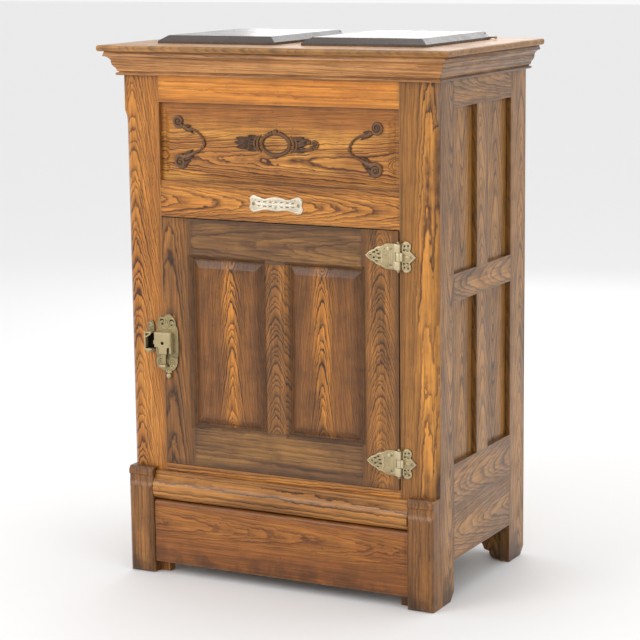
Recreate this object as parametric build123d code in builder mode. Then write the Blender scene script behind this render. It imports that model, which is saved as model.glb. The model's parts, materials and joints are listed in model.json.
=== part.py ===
"""Top-filled oak icebox: a panelled case on block feet, an ice chamber under two lids,
a zinc-lined food compartment behind an insulated door, a kick flap and a drip pan.

Millimetres, +Z up. The origin is the centre of the footprint on the floor, the front
faces -Y and +X is to the right of someone facing the door.
"""

from build123d import *
import os

os.makedirs("parts", exist_ok=True)

# ---------------------------------------------------------------- overall sizes
CASE_WIDTH = 660.0
CASE_DEPTH = 416.0
TOP_HEIGHT = 1037.0  # upper face of the top boards
TOP_OVERHANG = 38.0
TOP_THICK = 12.0
TOP_ROUND = 4.5
UNDER_TOP = TOP_HEIGHT - TOP_THICK

HALF_W = CASE_WIDTH / 2
Y_FRONT = -(CASE_DEPTH + TOP_OVERHANG) / 2 + TOP_OVERHANG  # face of the front stiles
Y_BACK = Y_FRONT + CASE_DEPTH

# ---------------------------------------------------------------- joinery
BOARD = 19.0  # thickness of the case frame members
GROOVE = 6.0  # width and depth of the panel grooves
FIT = 0.2  # slack on each face of a tongue or panel in its groove
END_SLACK = 1.0  # slack at the end of a tongue or panel in its groove
GLUE = 0.1  # line between two boards of one node
TONGUE = GROOVE - END_SLACK

# ---------------------------------------------------------------- front frame
FRONT_STILE = 76.0
INNER = HALF_W - FRONT_STILE  # half the width between the front stiles
FRONT_RECESS = 8.0
MIDDLE_RAIL = (709.5, 779.0)
MIDDLE_STEP = 10.0
MIDDLE_STEP_DEPTH = 2.0
TOP_RAIL_BOTTOM = 929.0
SILL = (118.0, 221.5)
STILE_CHAMFER = 6.2  # measured square to the chamfer
CHAMFER_TOP = 886.0
CHAMFER_STOP = 26.0
PANEL_LIP = 10.0
PANEL_BEVEL = 13.0
PANEL_FIELD = 1.0  # the raised field lies this far behind the frame's face

# ---------------------------------------------------------------- base
BLOCK_WIDTH = 54.0
BLOCK_PROUD = 25.0
BLOCK_TOP = 212.0
BLOCK_EASE = 6.0
BLOCK_HEAD = 40.0  # height of the moulded head of a base block
BLOCK_NECK_IN = 7.0  # how far the neck under the cap lies behind the block's face
BLOCK_NECK = (17.0, 22.0)  # below the block's top
BLOCK_CAP_IN = 4.0
BLOCK_CAP = (7.0, 15.0)  # below the block's top
BLOCK_CROWN_IN = 9.0
BLOCK_COVE_R = 24.0
ROLL_BOTTOM = 152.0
ROLL_TOP = 206.0
ROLL_PROUD = 22.5
ROLL_SWELL = 20.0  # height of its fullest point above its lower edge
ROLL_LEDGE = 15.0  # how proud its lower edge stands
ROLL_FILLET = (9.0, 10.0)  # how proud the square above the roll stands, and how tall it is
ROLL_EASE = 2.0
FLAP_BOTTOM = 22.7
FLAP_TOP = 148.6
FLAP_THICK = 16.3
FLAP_BACK_GAP = 0.4
FLAP_SIDE_GAP = 0.8
FLAP_PIN_R = 3.0
FLAP_PIN_IN = 14.0  # length of each pin in the flap, and in the block
FOOT_EASE = 16.0

# ---------------------------------------------------------------- side frames
SIDE_RECESS = 10.0
SIDE_FRONT_STILE = 72.0  # depth behind the front face at which the front stile ends
SIDE_REAR_STILE = 74.0
SIDE_MUNTIN = 52.0
SIDE_MUNTIN_CENTRE = 204.0
SKIRT_BOTTOM = 77.0
SKIRT_TOP = 183.0
SIDE_BOTTOM_RAIL_TOP = 262.0
SIDE_MID_RAIL = (570.0, 622.0)
SIDE_TOP_RAIL_BOTTOM = 928.0

# ---------------------------------------------------------------- insulated walls
BACK_BOARD = 12.0
BACK_BOARD_COUNT = 5
BACK_BOARD_GAP = 0.6
WALL_FILL = 38.0  # thickness of the insulation
LINER = 2.0
JAMB_DEPTH = 39.0
JAMB_STEP = 14.0  # how far the jamb stands inside the front frame's opening
FLOOR_BOARD = (172.0, 190.0)
FLOOR_FILL_TOP = 232.0
THRESHOLD_TOP = 238.0
LINTEL = (692.0, 740.0)
CEILING_FILL = 36.0
SLAB_GAP = 0.3

FILL_X = HALF_W - BOARD  # inner face of the side frames
ROOM_X = FILL_X - WALL_FILL - LINER  # inner face of the side lining
FILL_Y0 = Y_FRONT + BOARD
ROOM_Y0 = FILL_Y0 + JAMB_DEPTH
FILL_Y1 = Y_BACK - BACK_BOARD
ROOM_Y1 = FILL_Y1 - WALL_FILL - LINER
ICE_TOP = UNDER_TOP - CEILING_FILL - LINER
FLOOR_TOP = FLOOR_FILL_TOP + LINER
JAMB_X = INNER - JAMB_STEP

# ---------------------------------------------------------------- ice chamber
BEARER = (712.0, 740.0)
BEARER_WIDE = 30.0
BEARER_AT = (125.0, 290.0)  # behind the front face
TRAY_HALF = ROOM_X - 46.0  # leaves the cold air flues beside the tray
TRAY_GAP = 4.0
TRAY_WALL = 22.0
TRAY_SHEET = 2.0
RACK_BAR = 8.0
RACK_SLAT = (22.0, 12.0)
RACK_SLATS = 9
RACK_MARGIN = 12.0
PIPE_R = 12.0
PIPE_WALL = 1.5
PIPE_AT = (-130.0, Y_FRONT + 336.0)
PIPE_BOTTOM = 76.0
PIPE_HOLE_GAP = 0.5

# ---------------------------------------------------------------- shelves
SHELF_AT = (388.0, 545.0)
SHELF_REST = 12.0
SHELF_REST_WIDE = 14.0
SHELF_REAR = 310.0  # rear edge of the shelves behind the front face
SHELF_ROD = 3.0
SHELF_WIRE = 1.6
SHELF_PITCH = 24.0
SHELF_SIDE_GAP = 4.0

# ---------------------------------------------------------------- lids
LID_SHIFT = -3.0
LID_INNER = 28.0
LID_OUTER = HALF_W - 45.0
LID_FRONT = 57.0  # behind the front face
LID_REAR = 352.0
LID_THICK = 15.0
LID_EDGE = 4.6
LID_BEVEL = 16.0
HATCH_LAP = 25.0
PLUG_GAP = 5.0
PLUG_DEEP = 30.0
LID_LEAF = 1.5
LID_KNUCKLE_R = 3.4
LID_AIR = 0.2  # under the knuckles
LEAF_AIR = 0.3  # between a leaf and the knuckle it passes
LID_PIN_R = 1.5
LID_HINGE_WIDE = 50.0
LID_HINGE_INSET = 10.0
LID_BOARD_LEAF = 24.0
LID_PIN_OUT = 19.0  # the pins end well past the lids' edges
PIN_FIT = 0.05  # radial running clearance of every pin

# ---------------------------------------------------------------- door
DOOR_GAP = 1.5
DOOR_THICK = 20.0
DOOR_BOTTOM = SILL[1] + DOOR_GAP
DOOR_TOP = MIDDLE_RAIL[0] - DOOR_GAP
DOOR_HALF = INNER - DOOR_GAP
DOOR_PANELS = ((-195.0, -25.0), (15.0, 185.0))
DOOR_PANEL_Z = (297.0, 638.0)
STICKING = 8.0
DOOR_PANEL_LIP = 3.0
DOOR_PANEL_BEVEL = 13.0
DOOR_FIELD = 2.0  # raised field behind the door's face
DOOR_PLUG_GAP = 8.0
DOOR_PLUG_DEEP = 41.0
DOOR_LINER = 1.5
GASKET_LEAST = 1.8
GASKET_WIDE = 10.0
GASKET_SLACK = 0.2  # between the gasket and the jamb when the door is shut
DOOR_PROUD_LEAST = 3.0

# The jamb stands behind the frame, so a thick door stands proud and the gasket fills what is left.
DOOR_PROUD = max(DOOR_PROUD_LEAST, DOOR_THICK + GASKET_LEAST + GASKET_SLACK - BOARD)
GASKET = BOARD + DOOR_PROUD - DOOR_THICK - GASKET_SLACK
DOOR_FACE = Y_FRONT - DOOR_PROUD
DOOR_BACK = DOOR_FACE + DOOR_THICK

# ---------------------------------------------------------------- door hinges
HINGE_AT = (274.0, 661.0)
HINGE_TALL = 48.0
HINGE_LEAF = 2.5
HINGE_X = INNER + 0.5
KNUCKLE_R = 4.5
KNUCKLE_GAP = 0.2
HINGE_PIN_R = 2.0
PIN_HEAD_GAP = 0.3
PIN_HEAD = 1.4  # times the pin's radius
KNUCKLE_ROOM = 0.4
DOOR_LEAF_LONG = 68.0
DOOR_LEAF_TAPER = (0.45, 0.8)  # shares of its length where it starts to narrow and is half as tall
FRAME_LEAF_WIDE = 16.0
FRAME_LOBE = (14.0, 9.0)  # height about the middle and radius of the upper and lower lobes
FRAME_TIP = (19.0, 8.0)  # place and radius of the middle lobe
KNUCKLE_AIR = 0.1
HINGE_Y = DOOR_FACE - KNUCKLE_R - KNUCKLE_AIR
SCREW_R = 1.6
SCREW_HEAD_R = 3.4
SCREW_HEAD = 1.2
SCREW_DEEP = 11.0
DOOR_LEAF_SCREWS = ((-16.0, -15.0), (-16.0, 15.0), (-46.0, 0.0))
FRAME_LEAF_SCREWS = ((15.0, -15.0), (15.0, 15.0), (24.0, 0.0))

# ---------------------------------------------------------------- latch
LATCH_INSET = 5.0  # from the opening's edge to the latch's centre line
LATCH_X = -(INNER - LATCH_INSET)
LATCH_Z = 463.0
LATCH_PLATE = 3.0
LATCH_BODY = (46.0, 66.0)
CREST_AT = (3.0, 36.0)
CREST_R = 21.0
SHIELD_AT = (2.0, -40.0)
SHIELD = (26.0, 25.0)
FINIAL_AT = (6.0, -68.0)
FINIAL_R = 6.0
LATCH_BOX = (38.0, 42.0, 11.0)  # wide, tall, proud of the plate
LATCH_WALL = 2.5
LATCH_PIN_R = 2.5
LEVER_THICK = 5.0
LEVER_GAP = 1.6
LEVER_HUB_R = 8.0
LEVER_LONG = 42.0
LEVER_WIDE = 11.0
GRIP = 6.0
GRIP_LAP = 4.0
TONGUE_TALL = 8.0
TONGUE_REACH = 23.0
KEEPER_AT = (20.5, 37.0)  # beside the opening
KEEPER_X = (-(INNER + KEEPER_AT[1]), -(INNER + KEEPER_AT[0]))
KEEPER_Z = (444.0, 500.0)
KEEPER_MOUTH = (450.0, 480.0)
KEEPER_PROUD = 15.0
KEEPER_WALL = 3.0
LATCH_SCREWS = ((4.0, 46.0), (18.0, 38.0), (4.0, -56.0), (18.0, -46.0))

# ---------------------------------------------------------------- ornaments
ORNAMENT_THICK = 5.0
ORNAMENT_Z = 857.0
RING_OUT = (35.0, 25.0)
RING_IN = (26.0, 16.5)
RING_BEAD_R = 5.0
RING_ARM_AT = 58.0
RING_ARM = (30.0, 11.0)
ARM_END_AT = 84.0
ARM_END_R = 7.0
VOLUTE_UP = (210.0, 894.0)
VOLUTE_DOWN = (208.0, 816.0)
VOLUTE_TIP = (157.0, 855.0)
VOLUTE_R = 12.0
VOLUTE_SWEEP = 0.75
SCROLL_WIDE = 8.0
NAMEPLATE_X = (-58.0, 56.0)
NAMEPLATE_Z = (728.0, 760.0)
NAMEPLATE_THICK = 1.5
NAMEPLATE_WAIST = 4.0
NAMEPLATE_CORNER = 9.0
NAMEPLATE_LOBE = 36.0
NAMEPLATE_PINS = (-49.0, 47.0)

# ---------------------------------------------------------------- drip pan
PAN_HALF = 165.0
PAN_FRONT = 60.0
PAN_REAR = 372.0
PAN_Z = (30.0, 67.8)
PAN_SHEET = 1.5
PAN_RIM = 9.0
RUNNER_GAP = 0.5
RUNNER_WEB = 6.0
RUNNER_LEDGE = 4.0
FOOT_BLOCK_FRONT = 350.0
FOOT_BLOCK_INNER = 262.0
FOOT_TOE = ((17.0, 0.0), (25.0, 5.0), (28.0, 15.0))  # in from the side frame, and up from the floor
FOOT_TONGUE = ((10.0, 18.0), (6.0, 28.0), (0.0, 34.0))  # out from the block's inner face, and up


# ---------------------------------------------------------------- helpers
def block(x, y, z, mode=Mode.ADD):
    """Join (or cut) one square-edged board, given as (low, high) pairs."""
    with Locations((x[0], y[0], z[0])):
        Box(x[1] - x[0], y[1] - y[0], z[1] - z[0], align=(Align.MIN,) * 3, mode=mode)


def peg(x, z, y, radius, mode=Mode.ADD):
    """Join (or cut) a round peg that lies along Y between the (low, high) pair y."""
    with Locations((x, (y[0] + y[1]) / 2, z)):
        Cylinder(radius, y[1] - y[0], rotation=(90, 0, 0), mode=mode)


def rod_x(x, y, z, radius, mode=Mode.ADD):
    """Join (or cut) a round rod that lies along X between the (low, high) pair x."""
    with Locations(((x[0] + x[1]) / 2, y, z)):
        Cylinder(radius, x[1] - x[0], rotation=(0, 90, 0), mode=mode)


def rod_y(x, y, z, radius):
    """Join a round rod that lies along Y between the (low, high) pair y."""
    with Locations((x, (y[0] + y[1]) / 2, z)):
        Cylinder(radius, y[1] - y[0], rotation=(90, 0, 0))


def behind(depth_low, depth_high):
    """The Y pair between two depths behind the front face."""
    return (Y_FRONT + depth_low, Y_FRONT + depth_high)


def inward(side, out, into):
    """The X pair between two depths in from the outer face of one side (-1 or 1)."""
    return tuple(sorted((side * (HALF_W - out), side * (HALF_W - into))))


def mirrored(side, low, high):
    """The X pair for side -1 or 1 of a pair that is given for the right side."""
    return tuple(sorted((side * low, side * high)))


def at_y(y):
    """A sketch plane that faces the front at the given Y: local x is X, local y is Z."""
    return Plane.XZ.offset(-y)


def grown(pair, amount):
    """The pair widened by amount at both ends."""
    return (pair[0] - amount, pair[1] + amount)


def save(piece, label):
    """Label one finished sub-part and write it."""
    piece.part.label = label
    export_step(piece.part, f"parts/{label}.step")


SIDES = (("left", -1), ("right", 1))
FRAME_Y = behind(0, BOARD)
FRONT_GROOVE_Y = behind(FRONT_RECESS, FRONT_RECESS + GROOVE)
FRONT_TONGUE_Y = grown(FRONT_GROOVE_Y, -FIT)
OPENING_X = (-INNER, INNER)

# ================================================================ front frame
hinge_screws_frame = [
    (HINGE_X + dx, zc + dz) for zc in HINGE_AT for dx, dz in FRAME_LEAF_SCREWS
]
keeper_screws = [
    (sum(KEEPER_X) / 2, KEEPER_Z[0] + KEEPER_WALL),
    (sum(KEEPER_X) / 2, KEEPER_Z[1] - 2 * KEEPER_WALL),
]
PILOT_Y = behind(0, SCREW_DEEP)

for side_name, side in SIDES:
    with BuildPart() as front_stile:
        block(mirrored(side, INNER, HALF_W), FRAME_Y, (0, UNDER_TOP))
        for groove_z in ((MIDDLE_RAIL[0], UNDER_TOP), SILL):
            block(mirrored(side, INNER, INNER + GROOVE), FRONT_GROOVE_Y, groove_z, Mode.SUBTRACT)
        corner = Plane(origin=(side * HALF_W, Y_FRONT, 0), x_dir=(-side, 1, 0), z_dir=(1, side, 0))
        with BuildSketch(corner):
            with BuildLine():
                Polyline(
                    (0, CHAMFER_TOP + CHAMFER_STOP),
                    (-STILE_CHAMFER, CHAMFER_TOP + CHAMFER_STOP),
                    (-STILE_CHAMFER, BLOCK_TOP),
                    (STILE_CHAMFER, BLOCK_TOP),
                    (STILE_CHAMFER, CHAMFER_TOP),
                )
                TangentArc((STILE_CHAMFER, CHAMFER_TOP), (0, CHAMFER_TOP + CHAMFER_STOP), tangent=(0, 1))
            make_face()
        extrude(amount=BOARD, both=True, mode=Mode.SUBTRACT)
        for x, z in hinge_screws_frame if side > 0 else keeper_screws:
            peg(x, z, PILOT_Y, SCREW_R, Mode.SUBTRACT)
    save(front_stile, f"front_stile_{side_name}")

with BuildPart() as front_top_rail:
    rail_z = (TOP_RAIL_BOTTOM, UNDER_TOP)
    block(OPENING_X, FRAME_Y, rail_z)
    block(grown(OPENING_X, TONGUE), FRONT_TONGUE_Y, rail_z)
    block(grown(OPENING_X, GROOVE), FRONT_GROOVE_Y, (rail_z[0], rail_z[0] + GROOVE), Mode.SUBTRACT)
save(front_top_rail, "front_top_rail")

with BuildPart() as front_middle_rail:
    block(OPENING_X, FRAME_Y, MIDDLE_RAIL)
    block(grown(OPENING_X, TONGUE), FRONT_TONGUE_Y, MIDDLE_RAIL)
    step_z = (MIDDLE_RAIL[1] - MIDDLE_STEP, MIDDLE_RAIL[1])
    block(OPENING_X, behind(0, MIDDLE_STEP_DEPTH), step_z, Mode.SUBTRACT)
    groove_z = (MIDDLE_RAIL[1] - GROOVE, MIDDLE_RAIL[1])
    block(grown(OPENING_X, GROOVE), FRONT_GROOVE_Y, groove_z, Mode.SUBTRACT)
    for x in NAMEPLATE_PINS:
        peg(x, sum(NAMEPLATE_Z) / 2, PILOT_Y, SCREW_R, Mode.SUBTRACT)
save(front_middle_rail, "front_middle_rail")

with BuildPart() as front_bottom_rail:
    block(OPENING_X, FRAME_Y, SILL)
    block(grown(OPENING_X, TONGUE), FRONT_TONGUE_Y, SILL)
save(front_bottom_rail, "front_bottom_rail")

ICE_PANEL_Z = (MIDDLE_RAIL[1], TOP_RAIL_BOTTOM)
with BuildPart() as ice_front_panel:
    block(grown(OPENING_X, TONGUE), FRONT_TONGUE_Y, grown(ICE_PANEL_Z, TONGUE))
    for y, inset in (
        (FRONT_TONGUE_Y[0], PANEL_LIP),
        (Y_FRONT + PANEL_FIELD, PANEL_LIP + PANEL_BEVEL),
    ):
        with BuildSketch(at_y(y)):
            with Locations((0, sum(ICE_PANEL_Z) / 2)):
                Rectangle(2 * (INNER - inset), ICE_PANEL_Z[1] - ICE_PANEL_Z[0] - 2 * inset)
    loft()
save(ice_front_panel, "ice_front_panel")

# ================================================================ base mouldings
BLOCK_INNER = HALF_W - BLOCK_WIDTH
FLAP_AXIS_Y = Y_FRONT - FLAP_BACK_GAP - FLAP_THICK / 2
FLAP_AXIS_Z = FLAP_TOP - FLAP_THICK / 2

with BuildPart() as roll_moulding:
    fillet_y = Y_FRONT - ROLL_FILLET[0]
    with BuildSketch(Plane.YZ.offset(-BLOCK_INNER)):
        with BuildLine():
            Polyline(
                (fillet_y, ROLL_TOP - ROLL_FILLET[1]),
                (fillet_y, ROLL_TOP - ROLL_EASE),
                (fillet_y + ROLL_EASE, ROLL_TOP),
                (Y_FRONT, ROLL_TOP),
                (Y_FRONT, ROLL_BOTTOM),
                (Y_FRONT - ROLL_LEDGE, ROLL_BOTTOM),
            )
            ThreePointArc(
                (Y_FRONT - ROLL_LEDGE, ROLL_BOTTOM),
                (Y_FRONT - ROLL_PROUD, ROLL_BOTTOM + ROLL_SWELL),
                (fillet_y, ROLL_TOP - ROLL_FILLET[1]),
            )
        make_face()
    extrude(amount=2 * BLOCK_INNER)
save(roll_moulding, "roll_moulding")

for side_name, side in SIDES:
    with BuildPart() as base_block:
        face_y = Y_FRONT - BLOCK_PROUD
        head = BLOCK_TOP - BLOCK_HEAD
        with BuildSketch(Plane.YZ.offset(min(side * BLOCK_INNER, side * HALF_W))):
            with BuildLine():
                Polyline(
                    (face_y + BLOCK_NECK_IN, BLOCK_TOP - BLOCK_NECK[1]),
                    (face_y + BLOCK_NECK_IN, BLOCK_TOP - BLOCK_NECK[0]),
                    (face_y + BLOCK_CAP_IN, BLOCK_TOP - BLOCK_CAP[1]),
                    (face_y + BLOCK_CAP_IN, BLOCK_TOP - BLOCK_CAP[0]),
                    (face_y + BLOCK_CROWN_IN, BLOCK_TOP),
                    (Y_FRONT, BLOCK_TOP),
                    (Y_FRONT, 0),
                    (face_y, 0),
                    (face_y, head),
                )
                RadiusArc(
                    (face_y, head),
                    (face_y + BLOCK_NECK_IN, BLOCK_TOP - BLOCK_NECK[1]),
                    -BLOCK_COVE_R,
                )
            make_face()
        extrude(amount=BLOCK_WIDTH)
        front_edges = base_block.edges().filter_by(Axis.Z).group_by(Axis.Y)[0]
        chamfer(front_edges, BLOCK_EASE)
        foot_edges = base_block.edges().filter_by(Axis.X).group_by(Axis.Z)[0].sort_by(Axis.Y)[0:1]
        chamfer(foot_edges, BLOCK_EASE)
        hole_x = mirrored(side, BLOCK_INNER, BLOCK_INNER + FLAP_PIN_IN + 1)
        rod_x(hole_x, FLAP_AXIS_Y, FLAP_AXIS_Z, FLAP_PIN_R + PIN_FIT, Mode.SUBTRACT)
    save(base_block, f"base_block_{side_name}")

FLAP_HALF = BLOCK_INNER - FLAP_SIDE_GAP
with BuildPart() as kick_flap:
    with BuildSketch(Plane.YZ.offset(-FLAP_HALF)):
        with BuildLine():
            y_face = FLAP_AXIS_Y - FLAP_THICK / 2
            y_rear = FLAP_AXIS_Y + FLAP_THICK / 2
            Polyline((y_face, FLAP_AXIS_Z), (y_face, FLAP_BOTTOM), (y_rear, FLAP_BOTTOM), (y_rear, FLAP_AXIS_Z))
            ThreePointArc((y_rear, FLAP_AXIS_Z), (FLAP_AXIS_Y, FLAP_TOP), (y_face, FLAP_AXIS_Z))
        make_face()
    extrude(amount=2 * FLAP_HALF)
    for side_name, side in SIDES:
        socket_x = mirrored(side, FLAP_HALF - FLAP_PIN_IN, FLAP_HALF)
        rod_x(socket_x, FLAP_AXIS_Y, FLAP_AXIS_Z, FLAP_PIN_R, Mode.SUBTRACT)
save(kick_flap, "kick_flap")

with BuildPart() as flap_pins:
    for side_name, side in SIDES:
        pin_x = mirrored(side, FLAP_HALF - FLAP_PIN_IN, BLOCK_INNER + FLAP_PIN_IN)
        rod_x(pin_x, FLAP_AXIS_Y, FLAP_AXIS_Z, FLAP_PIN_R)
save(flap_pins, "flap_pins")

# ================================================================ side frames
SIDE_RAIL_Y = behind(SIDE_FRONT_STILE, CASE_DEPTH - SIDE_REAR_STILE)
SIDE_MUNTIN_Y = behind(SIDE_MUNTIN_CENTRE - SIDE_MUNTIN / 2, SIDE_MUNTIN_CENTRE + SIDE_MUNTIN / 2)
SIDE_OPENINGS_Z = (
    (SIDE_BOTTOM_RAIL_TOP, SIDE_MID_RAIL[0]),
    (SIDE_MID_RAIL[1], SIDE_TOP_RAIL_BOTTOM),
)
SIDE_OPENINGS_Y = ((SIDE_RAIL_Y[0], SIDE_MUNTIN_Y[0]), (SIDE_MUNTIN_Y[1], SIDE_RAIL_Y[1]))

for side_name, side in SIDES:
    full_x = inward(side, 0, BOARD)
    groove_x = inward(side, SIDE_RECESS, SIDE_RECESS + GROOVE)
    tongue_x = inward(side, SIDE_RECESS + FIT, SIDE_RECESS + GROOVE - FIT)
    y0, y1 = SIDE_RAIL_Y

    with BuildPart() as side_stiles:
        block(full_x, (Y_FRONT + BOARD, y0), (0, UNDER_TOP))
        block(full_x, (y1, Y_BACK), (0, UNDER_TOP))
        foot_edges = side_stiles.edges().filter_by(Axis.X).group_by(Axis.Z)[0].sort_by(Axis.Y)
        chamfer([foot_edges[1], foot_edges[3]], FOOT_EASE)
        block(groove_x, (y0 - GROOVE, y0), (SKIRT_BOTTOM, UNDER_TOP), Mode.SUBTRACT)
        block(groove_x, (y1, y1 + GROOVE), (SKIRT_BOTTOM, UNDER_TOP), Mode.SUBTRACT)
    save(side_stiles, f"side_stiles_{side_name}")

    with BuildPart() as side_rails:
        rails = (
            (SKIRT_BOTTOM, SKIRT_TOP - GLUE),
            (SKIRT_TOP, SIDE_BOTTOM_RAIL_TOP),
            SIDE_MID_RAIL,
            (SIDE_TOP_RAIL_BOTTOM, UNDER_TOP),
        )
        for rail_z in rails:
            block(full_x, (y0, y1), rail_z)
            block(tongue_x, (y0 - TONGUE, y1 + TONGUE), rail_z)
        for low, high in SIDE_OPENINGS_Z:
            block(groove_x, grown((y0, y1), GROOVE), (low - GROOVE, low), Mode.SUBTRACT)
            block(groove_x, grown((y0, y1), GROOVE), (high, high + GROOVE), Mode.SUBTRACT)
        for opening_z in SIDE_OPENINGS_Z:
            block(full_x, SIDE_MUNTIN_Y, grown(opening_z, -GLUE))
            block(tongue_x, SIDE_MUNTIN_Y, grown(opening_z, TONGUE))
            for groove_y in (
                (SIDE_MUNTIN_Y[0], SIDE_MUNTIN_Y[0] + GROOVE),
                (SIDE_MUNTIN_Y[1] - GROOVE, SIDE_MUNTIN_Y[1]),
            ):
                block(groove_x, groove_y, grown(opening_z, TONGUE), Mode.SUBTRACT)
    save(side_rails, f"side_rails_{side_name}")

    with BuildPart() as side_panels:
        for opening_z in SIDE_OPENINGS_Z:
            for opening_y in SIDE_OPENINGS_Y:
                block(tongue_x, grown(opening_y, TONGUE), grown(opening_z, TONGUE))
    save(side_panels, f"side_panels_{side_name}")

# ================================================================ back and rear feet
with BuildPart() as back_boards:
    pitch = 2 * FILL_X / BACK_BOARD_COUNT
    for i in range(BACK_BOARD_COUNT):
        board_x = (-FILL_X + i * pitch, -FILL_X + (i + 1) * pitch - BACK_BOARD_GAP)
        block(board_x, (FILL_Y1, Y_BACK), (SKIRT_BOTTOM, UNDER_TOP))
save(back_boards, "back_boards")

with BuildPart() as rear_feet:
    for side_name, side in SIDES:
        toe = [(side * (FILL_X - inset), z) for inset, z in FOOT_TOE]
        tongue = [(side * (FOOT_BLOCK_INNER + out), z) for out, z in FOOT_TONGUE]
        with BuildSketch(at_y(FILL_Y1)):
            with BuildLine():
                ThreePointArc(*toe)
                Polyline(
                    toe[-1],
                    *tongue,
                    (side * FOOT_BLOCK_INNER, SKIRT_BOTTOM),
                    (side * FILL_X, SKIRT_BOTTOM),
                    (side * FILL_X, 0),
                    toe[0],
                )
            make_face()
        extrude(amount=FILL_Y1 - Y_FRONT - FOOT_BLOCK_FRONT)
save(rear_feet, "rear_feet")

# ================================================================ top and cornice
TOP_X = (-HALF_W - TOP_OVERHANG, HALF_W + TOP_OVERHANG)
LID_Y = behind(LID_FRONT, LID_REAR)
HATCH_Y = grown(LID_Y, -HATCH_LAP)
LID_X = {
    "left": (LID_SHIFT - LID_OUTER, LID_SHIFT - LID_INNER),
    "right": (LID_SHIFT + LID_INNER, LID_SHIFT + LID_OUTER),
}
HATCH_X = {name: grown(pair, -HATCH_LAP) for name, pair in LID_X.items()}

with BuildPart() as top_boards:
    block(TOP_X, (Y_FRONT - TOP_OVERHANG, Y_BACK), (UNDER_TOP, TOP_HEIGHT))
    outer = top_boards.edges().filter_by(Axis.Y)
    outer += top_boards.edges().filter_by(Axis.X).group_by(Axis.Y)[0]
    fillet(outer, TOP_ROUND)
    for hatch in HATCH_X.values():
        block(hatch, HATCH_Y, (UNDER_TOP, TOP_HEIGHT), Mode.SUBTRACT)
    for seam in ((HATCH_Y[0] - SLAB_GAP, HATCH_Y[0]), (HATCH_Y[1], HATCH_Y[1] + SLAB_GAP)):
        block(TOP_X, seam, (UNDER_TOP, TOP_HEIGHT), Mode.SUBTRACT)
save(top_boards, "top_boards")

# Each run of cornice: the plane of its section, with local x outwards, and its length.
CORNICE_FRONT = Plane(
    origin=(HALF_W + TOP_OVERHANG, Y_FRONT, UNDER_TOP), x_dir=(0, -1, 0), z_dir=(-1, 0, 0)
)
CORNICE_SIDES = {
    -1: Plane(origin=(-HALF_W, Y_FRONT - TOP_OVERHANG, UNDER_TOP), x_dir=(-1, 0, 0), z_dir=(0, 1, 0)),
    1: Plane(origin=(HALF_W, Y_BACK, UNDER_TOP), x_dir=(1, 0, 0), z_dir=(0, -1, 0)),
}
# Places on the cornice section: out from the case, and down from the top boards.
CORNICE_DROP = 46.0
CORNICE_LIP = (27.0, 0.0)
COVE_TOP = (30.0, -9.0)
COVE_R = 16.0
OVOLO = ((18.0, -18.0), (17.0, -25.0), (14.0, -30.0))
REVERSE = (OVOLO[-1], (11.0, -34.0), (10.0, -38.0))
QUIRK = (REVERSE[-1], (7.0, -39.0), (7.0, -41.0), (10.0, -41.0))
BEAD = (QUIRK[-1], (12.0, -43.5), (10.0, -CORNICE_DROP))


def cornice_section(plane):
    """The cornice section, drawn down from the underside of the top boards."""
    with BuildSketch(plane) as section:
        with BuildLine():
            Polyline((0, -CORNICE_DROP), (0, 0), CORNICE_LIP, COVE_TOP)
            RadiusArc(COVE_TOP, OVOLO[0], -COVE_R)
            ThreePointArc(*OVOLO)
            ThreePointArc(*REVERSE)
            Polyline(*QUIRK)
            ThreePointArc(*BEAD)
            Line(BEAD[-1], (0, -CORNICE_DROP))
        make_face()
    return section.sketch


def mitre_waste(side, front):
    """Cut off what lies beyond the mitre at one front corner of the cornice."""
    reach = 2 * TOP_OVERHANG
    x0 = side * HALF_W
    diagonal = (x0 + side * reach, Y_FRONT - reach)
    square = (x0 + side * reach, Y_FRONT) if front else (x0, Y_FRONT - reach)
    with BuildSketch(Plane.XY.offset(UNDER_TOP - CORNICE_DROP)) as waste:
        with BuildLine():
            Polyline((x0, Y_FRONT), diagonal, square, close=True)
        make_face()
    return waste.sketch


with BuildPart() as cornice_front:
    extrude(cornice_section(CORNICE_FRONT), amount=CASE_WIDTH + 2 * TOP_OVERHANG)
    for side_name, side in SIDES:
        extrude(mitre_waste(side, True), amount=CORNICE_DROP, mode=Mode.SUBTRACT)
save(cornice_front, "cornice_front")

with BuildPart() as cornice_sides:
    for side_name, side in SIDES:
        extrude(cornice_section(CORNICE_SIDES[side]), amount=CASE_DEPTH + TOP_OVERHANG)
        extrude(mitre_waste(side, False), amount=CORNICE_DROP, mode=Mode.SUBTRACT)
save(cornice_sides, "cornice_sides")

# ================================================================ insulated walls
PIPE_X, PIPE_Y = PIPE_AT
PIPE_CLEAR = PIPE_R + PIPE_HOLE_GAP


def pipe_hole(z):
    """Cut the drain pipe's way through a floor between the (low, high) pair z."""
    with Locations((PIPE_X, PIPE_Y, (z[0] + z[1]) / 2)):
        Cylinder(PIPE_CLEAR, z[1] - z[0], mode=Mode.SUBTRACT)


with BuildPart() as floor_board:
    block((-FILL_X, FILL_X), (FILL_Y0, FILL_Y1), FLOOR_BOARD)
    pipe_hole(FLOOR_BOARD)
save(floor_board, "floor_board")

LINED_X = ROOM_X + LINER
LINED_Y1 = ROOM_Y1 + LINER
CEILING = (UNDER_TOP - CEILING_FILL, UNDER_TOP)
CEILING_Y = (ROOM_Y0 + SLAB_GAP, LINED_Y1 - SLAB_GAP)


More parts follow.
